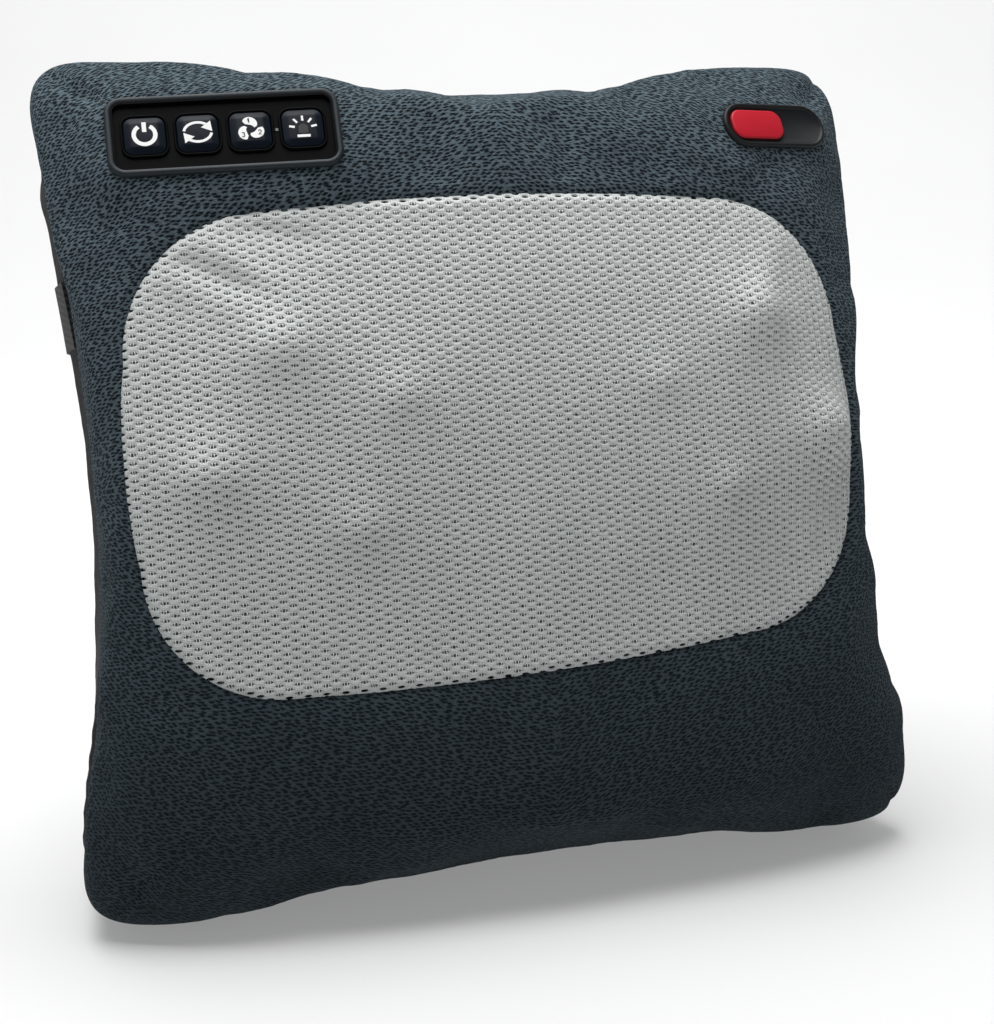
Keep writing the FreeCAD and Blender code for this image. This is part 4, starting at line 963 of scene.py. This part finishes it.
def make_window(tent):
    """Air mesh as real geometry: a lattice of almond holes with rolled edges."""
    centres = hole_centres()
    outer, eye = np.array(HEX), np.array(EYE)
    rings = [(outer, np.array(HEX_RISE)), (outer * 0.45 + eye * 0.55, np.full(len(EYE), 0.16)),
             (eye, np.full(len(EYE), -0.12)), (eye * 0.93, np.full(len(EYE), -0.75))]
    flat = np.concatenate([centres[:, None] + ring[None] for ring, _ in rings], axis=1)
    rise = np.tile(np.concatenate([r for _, r in rings]), (len(centres), 1))
    x, z, rise = flat[..., 0].ravel(), flat[..., 1].ravel(), rise.ravel()
    outside = window_distance(x, z) > 0
    angle = np.arctan2(z - MID_Z, x)
    edge = reach(angle[outside], window_distance)
    x[outside], z[outside] = rays(angle[outside], edge)
    rise = np.where(outside, -0.2, rise)
    keys = np.round(np.stack([x, z, rise], axis=1) * 200).astype(np.int64)
    _, first, index = np.unique(keys, axis=0, return_index=True, return_inverse=True)
    index = index.ravel()
    faces = []
    size = len(EYE)
    for cell in range(len(centres)):
        base = cell * size * len(rings)
        for ring in range(len(rings) - 1):
            for side in range(size):
                after = (side + 1) % size
                corners = (base + ring * size + side, base + ring * size + after,
                           base + (ring + 1) * size + after, base + (ring + 1) * size + side)
                if all(outside[c] for c in corners):
                    continue
                merged = list(dict.fromkeys(int(index[c]) for c in corners))
                if len(merged) > 2:
                    faces.append(tuple(merged))
    points = window_points(x[first], z[first], rise[first], tent)
    cloth = np.stack([x[first], np.zeros(len(first)), z[first]], axis=1)
    piece = build("mesh_window_lattice", points, faces, MATERIALS["air_mesh"], cloth=cloth)
    drop_loose(piece)
    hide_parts("mesh_window")
    backing = make_backing(tent)
    yarns = make_spacer_yarns(centres, tent)


def make_backing(tent):
    """The mesh's closed inner layer, seen through the holes."""
    lines, columns = 240, 60
    angles = np.linspace(0, 2 * math.pi, lines, endpoint=False)
    edge = reach(angles, window_distance) + 1.5
    shares = np.linspace(1, 0.01, columns)
    x, z = rays(angles[:, None], edge[:, None] * shares[None])
    x, z = x.ravel(), z.ravel()
    points = window_points(x, z, np.full_like(x, -1.7), tent)
    faces = fold_faces(lines, columns)
    faces.append(tuple(row * columns + columns - 1 for row in range(lines)))
    cloth = np.stack([x, np.zeros_like(x), z], axis=1)
    piece = build("mesh_window_backing", points, faces, BACKING, cloth=cloth)
    return piece


YARN_HALF, YARN_THICK = 0.66, 0.15


def make_spacer_yarns(centres, tent):
    """Two upright yarns that cross each hole."""
    random.seed(7)
    inside = centres[window_distance(centres[:, 0], centres[:, 1]) < -1.6]
    half, thick = YARN_HALF, YARN_THICK
    x, z, rise, faces = [], [], [], []
    for hole_x, hole_z in inside:
        for aside in (-0.55, 0.45):
            middle = hole_x + aside + random.uniform(-0.16, 0.16)
            lean = random.uniform(-0.15, 0.15)
            low = random.uniform(-0.28, -0.02)
            base = len(x)
            for up in (-1, 1):
                for dx, dy in ((-thick, 0.0), (thick, 0.0), (0.0, thick * 1.6)):
                    x.append(middle + lean * up + dx)
                    z.append(hole_z + half * up)
                    rise.append(low + dy)
            faces += [(base, base + 1, base + 4, base + 3), (base + 1, base + 2, base + 5, base + 4),
                      (base + 2, base, base + 3, base + 5), (base, base + 2, base + 1),
                      (base + 3, base + 4, base + 5)]
    x, z = np.array(x), np.array(z)
    points = window_points(x, z, np.array(rise), tent)
    piece = build("mesh_window_spacer_yarns", points, faces, SPACER)
    return piece


# ---------------------------------------------------------------- keypad and badge
KEYS = ("power_button", "direction_button", "speed_button", "light_button")
KEY_PITCH, KEY_HALF, KEY_CORNER = 18.5, 7.3, 3.2
KEY_TOP = -1.5
KEY_PROFILE = [(4.8, 5.2), (4.8, 3.2), (-0.9, 3.2), (-0.9, 2.2), (0.0, 2.1), (0.0, -0.30), (0.10, -0.52),
               (0.35, -0.66), (2.10, -1.30), (2.45, -1.44), (2.90, KEY_TOP)]
RIM_PROFILE = [(-0.25, 1.9), (-0.35, -0.6), (-0.20, -1.20), (0.15, -1.58), (0.75, -1.72), (1.35, -1.62),
               (1.75, -1.45), (1.85, -1.2)]
COLLAR_WIDTH = 1.1
COLLAR_PROFILE = [(0.0, 0.1), (0.0, -0.55), (0.2, -0.8), (0.45, -0.86), (0.68, -0.8), (0.85, -0.55),
                  (0.85, 0.1)]
BADGE_PROFILE = [(1.0, 5.0), (0.0, 4.0), (0.0, 0.0), (0.25, -0.65), (0.85, -1.0), (1.45, -0.8), (1.8, -0.2),
                 (2.0, 0.0)]
INLAY_PROFILE = [(0.0, 0.6), (0.0, -0.65), (0.2, -0.98), (0.7, -1.12)]


def make_keypad():
    rim = moulded("panel_rim", PANEL, PANEL_HALF_W, PANEL_HALF_H, PANEL_CORNER, RIM_PROFILE, RIM_RUBBER,
                  ring=True)
    around, corner = KEY_HALF + COLLAR_WIDTH, KEY_CORNER + COLLAR_WIDTH
    for index, name in enumerate(KEYS):
        centre = ((index - 1.5) * KEY_PITCH, 0.0)
        collar = moulded(name + "_collar", PANEL, around, around, corner, COLLAR_PROFILE,
                         MATERIALS["panel_black"], centre=centre, ring=True)
        cap = moulded(name + "_cap", PANEL, KEY_HALF, KEY_HALF, KEY_CORNER, KEY_PROFILE,
                      MATERIALS["button_navy"], body=name, centre=centre)
        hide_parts(name)
    make_power_print(-1.5 * KEY_PITCH)
    make_direction_print(-0.5 * KEY_PITCH)
    make_speed_print(0.5 * KEY_PITCH)
    make_light_print(1.5 * KEY_PITCH)


def stroke(points, width):
    """Outline polygon of a line of constant width through the points."""
    points = np.asarray(points, float)
    way = np.gradient(points, axis=0)
    way /= np.linalg.norm(way, axis=1, keepdims=True)
    side = np.stack([-way[:, 1], way[:, 0]], axis=1) * width / 2
    return np.concatenate([points + side, (points - side)[::-1]])


def arc(radius, start, end, centre=(0.0, 0.0), steps=24):
    """Points on a circle, in degrees anticlockwise from the right."""
    turn = np.radians(np.linspace(start, end, steps))
    return np.stack([centre[0] + radius * np.cos(turn), centre[1] + radius * np.sin(turn)], axis=1)


def printed(name, body, centre, outlines, material, low=KEY_TOP + 0.04, high=KEY_TOP - 0.10):
    """Thin raised print on a key: each outline becomes a closed plate."""
    points, faces = [], []
    for outline in outlines:
        base, size = len(points), len(outline)
        for depth in (low, high):
            points += [(u + centre, depth, v) for u, v in outline]
        faces.append(tuple(range(base, base + size)))
        faces.append(tuple(range(base + 2 * size - 1, base + size - 1, -1)))
        for index in range(size):
            after = (index + 1) % size
            faces.append((base + index, base + after, base + size + after, base + size + index))
    piece = build(name, PANEL.points(points), faces, material, body, smooth=False)
    turn_outward(piece)
    return piece


def make_power_print(centre):
    ring = stroke(arc(3.75, 122, 418), 1.5)
    bar = stroke([(0, 1.1), (0, 3.0), (0, 4.9)], 1.5)
    printed("power_print", KEYS[0], centre, [ring, bar], PRINT)


def make_direction_print(centre):
    outlines = []
    for turned in (1, -1):
        oval = np.array([1.12, 0.88])
        line = arc(4.3, 172, 50) * turned * oval
        tip, back = arc(4.3, 8, 8, steps=1)[0] * turned * oval, arc(4.3, 52, 52, steps=1)[0] * turned * oval
        way = (tip - back) / np.linalg.norm(tip - back)
        side = np.array([-way[1], way[0]]) * 2.1
        outlines += [stroke(line, 0.95), np.array([back + side, tip + way * 0.5, back - side])]
    printed("direction_print", KEYS[1], centre, outlines, PRINT)


def make_speed_print(centre):
    """Three blades round the key's middle, numbered 1 to 3."""
    blades, numbers = [], []
    digits = {
        1: [[(-0.28, 0.40), (0.05, 0.68), (0.05, 0.68), (0.05, -0.65)]],
        2: [np.concatenate([arc(0.38, 165, -35, (0, 0.28), 10), [(-0.40, -0.62)], [(0.42, -0.62)]])],
        3: [arc(0.34, 150, -80, (0, 0.33), 10), arc(0.38, 80, -150, (0, -0.30), 10)],
    }
    for number, turn in ((1, 90.0), (2, -30.0), (3, 210.0)):
        angle = math.radians(turn)
        out = np.array([math.cos(angle), math.sin(angle)])
        aside = np.array([out[1], -out[0]])
        share = np.linspace(0, 1, 22)
        turned = angle + np.radians(40.0 - 104.0 * share)
        radius = 3.45 - 1.5 * share ** 2.2
        half = 1.95 * np.sqrt(np.maximum(np.sin(math.pi * (0.04 + 0.90 * share)), 0.05)) * (1 - 0.45 * share)
        spine = np.stack([np.cos(turned), np.sin(turned)], axis=1)
        blade = np.concatenate([spine * (radius + half)[:, None], (spine * (radius - half)[:, None])[::-1]])
        middle = out * 3.4 + aside * -0.4
        blades.append(blade)
        numbers += [stroke(np.asarray(line) * 1.3, 0.34) + middle for line in digits[number]]
    printed("speed_print", KEYS[2], centre, blades, PRINT)
    printed("speed_numbers", KEYS[2], centre, numbers, PRINT_DARK, KEY_TOP - 0.06, KEY_TOP - 0.16)


def make_light_print(centre):
    rays_drawn = []
    for turn in (90, 50, 130, 12, 168):
        way = np.array([math.cos(math.radians(turn)), math.sin(math.radians(turn))])
        start = way * 3.0 + (0, -0.7)
        rays_drawn.append(stroke([start, start + way, start + way * 2.0], 0.8))
    base = stroke([(-2.3, -3.7), (0, -3.7), (2.3, -3.7)], 1.05)
    printed("light_print", KEYS[3], centre, rays_drawn + [base], PRINT)
    dome = np.concatenate([[(-1.7, -2.6)], [(-1.7, -1.2)], arc(1.7, 180, 0, (0, -0.6), 16), [(1.7, -2.6)]])
    printed("light_dome", KEYS[3], centre, [dome], PRINT_GREY)


def make_badge():
    base = moulded("badge_base_rubber", BADGE, BADGE_HALF_W, BADGE_HALF_H, BADGE_HALF_H - 0.02, BADGE_PROFILE,
                   MATERIALS["badge_black"])
    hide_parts("badge_base")
    inlay = moulded("badge_inlay_rubber", BADGE, INLAY_HALF_W, INLAY_HALF_H, INLAY_CORNER, INLAY_PROFILE,
                    MATERIALS["badge_red"], centre=(INLAY_X, 0.0))
    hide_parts("badge_inlay")


# ---------------------------------------------------------------- camera and studio
EYE_PLACE = (-278.146, -789.191, -34.365)
LOOK = (0.33582, 0.94170, 0.02074)
UP = (0.07482, -0.04862, 0.99601)
LENS = 76.77
LIGHTS = [("overhead", (-0.15, 0.10, 1.6), (0.0, 0.0, 0.1), (1.4, 1.1), 38.0),  # place, target, size, watts
          ("fill", (-1.4, -1.6, 0.8), (0.0, 0.0, 0.15), (1.0, 1.0), 2.0),
          ("wall", (1.4, 0.6, 1.9), (1.8, 2.7, 0.9), (3.2, 0.8), 52.0)]
SWEEP_HALF_W, SWEEP_FRONT, SWEEP_START, SWEEP_BEND, SWEEP_TOP = 5.0, -5.0, 1.2, 1.5, 5.0  # metres
SWEEP_STEPS = 16


def make_camera():
    data = bpy.data.cameras.new("camera")
    data.lens = LENS
    data.sensor_width = 36.0
    camera = bpy.data.objects.new("camera", data)
    bpy.context.scene.collection.objects.link(camera)
    look = Vector(np.asarray(LOOK) @ BASIS).normalized()
    up = Vector(np.asarray(UP) @ BASIS)
    right = look.cross(up).normalized()
    up = right.cross(look)
    turn = Matrix((right, up, -look)).transposed().to_4x4()
    camera.matrix_world = Matrix.Translation(Vector(to_row(EYE_PLACE)[0])) @ turn
    data.clip_start, data.clip_end = 0.05, 50.0
    bpy.context.scene.camera = camera


def area_light(name, place, target, size, power):
    data = bpy.data.lights.new(name, "AREA")
    data.shape = "RECTANGLE"
    data.size, data.size_y = size
    data.energy = power
    lamp = bpy.data.objects.new(name, data)
    lamp.location = place
    lamp.rotation_euler = (Vector(target) - Vector(place)).to_track_quat("-Z", "Y").to_euler()
    bpy.context.scene.collection.objects.link(lamp)


def plain_mesh(name, points, faces, material):
    mesh = bpy.data.meshes.new(name)
    mesh.from_pydata(points, [], faces)
    mesh.materials.append(material)
    piece = bpy.data.objects.new(name, mesh)
    bpy.context.scene.collection.objects.link(piece)
    return piece


def make_studio():
    """Pale floor that sweeps up into a pale wall, a wide soft light overhead and weak fill."""
    recipe = Recipe("studio_paint")
    soft = recipe.noise(recipe.place(), 0.004, 2.0)
    recipe.finish(soft, (0.54, 0.54, 0.54), (0.56, 0.56, 0.56), Roughness=0.6, Specular_IOR_Level=0.1,
                  Emission_Color=(1.0, 1.0, 1.0, 1.0), Emission_Strength=0.26)
    profile = [(SWEEP_FRONT, 0.0), (SWEEP_START, 0.0)]
    for step in range(1, SWEEP_STEPS + 1):
        turn = math.pi / 2 * step / SWEEP_STEPS
        profile.append((SWEEP_START + SWEEP_BEND * math.sin(turn), SWEEP_BEND * (1 - math.cos(turn))))
    profile.append((SWEEP_START + SWEEP_BEND, SWEEP_TOP))
    points = [(side * SWEEP_HALF_W, y, z) for y, z in profile for side in (-1, 1)]
    faces = [(2 * i, 2 * i + 1, 2 * i + 3, 2 * i + 2) for i in range(len(profile) - 1)]
    sweep = plain_mesh("sweep", points, faces, recipe.material)
    sweep.data.polygons.foreach_set("use_smooth", [True] * len(faces))
    world = bpy.data.worlds.new("studio")
    world.use_nodes = True
    sky = world.node_tree.nodes["Background"].inputs
    sky["Color"].default_value = (0.96, 0.98, 1.0, 1.0)
    sky["Strength"].default_value = 0.15
    bpy.context.scene.world = world
    for light in LIGHTS:
        area_light(*light)


bpy.context.scene.view_settings.view_transform = "Standard"
paint_nodes()
PUFF = Puff()
TENT = Tent()
make_front_cover(PUFF)
make_back_cover(PUFF)
make_window(TENT)
make_keypad()
make_badge()
make_camera()
make_studio()
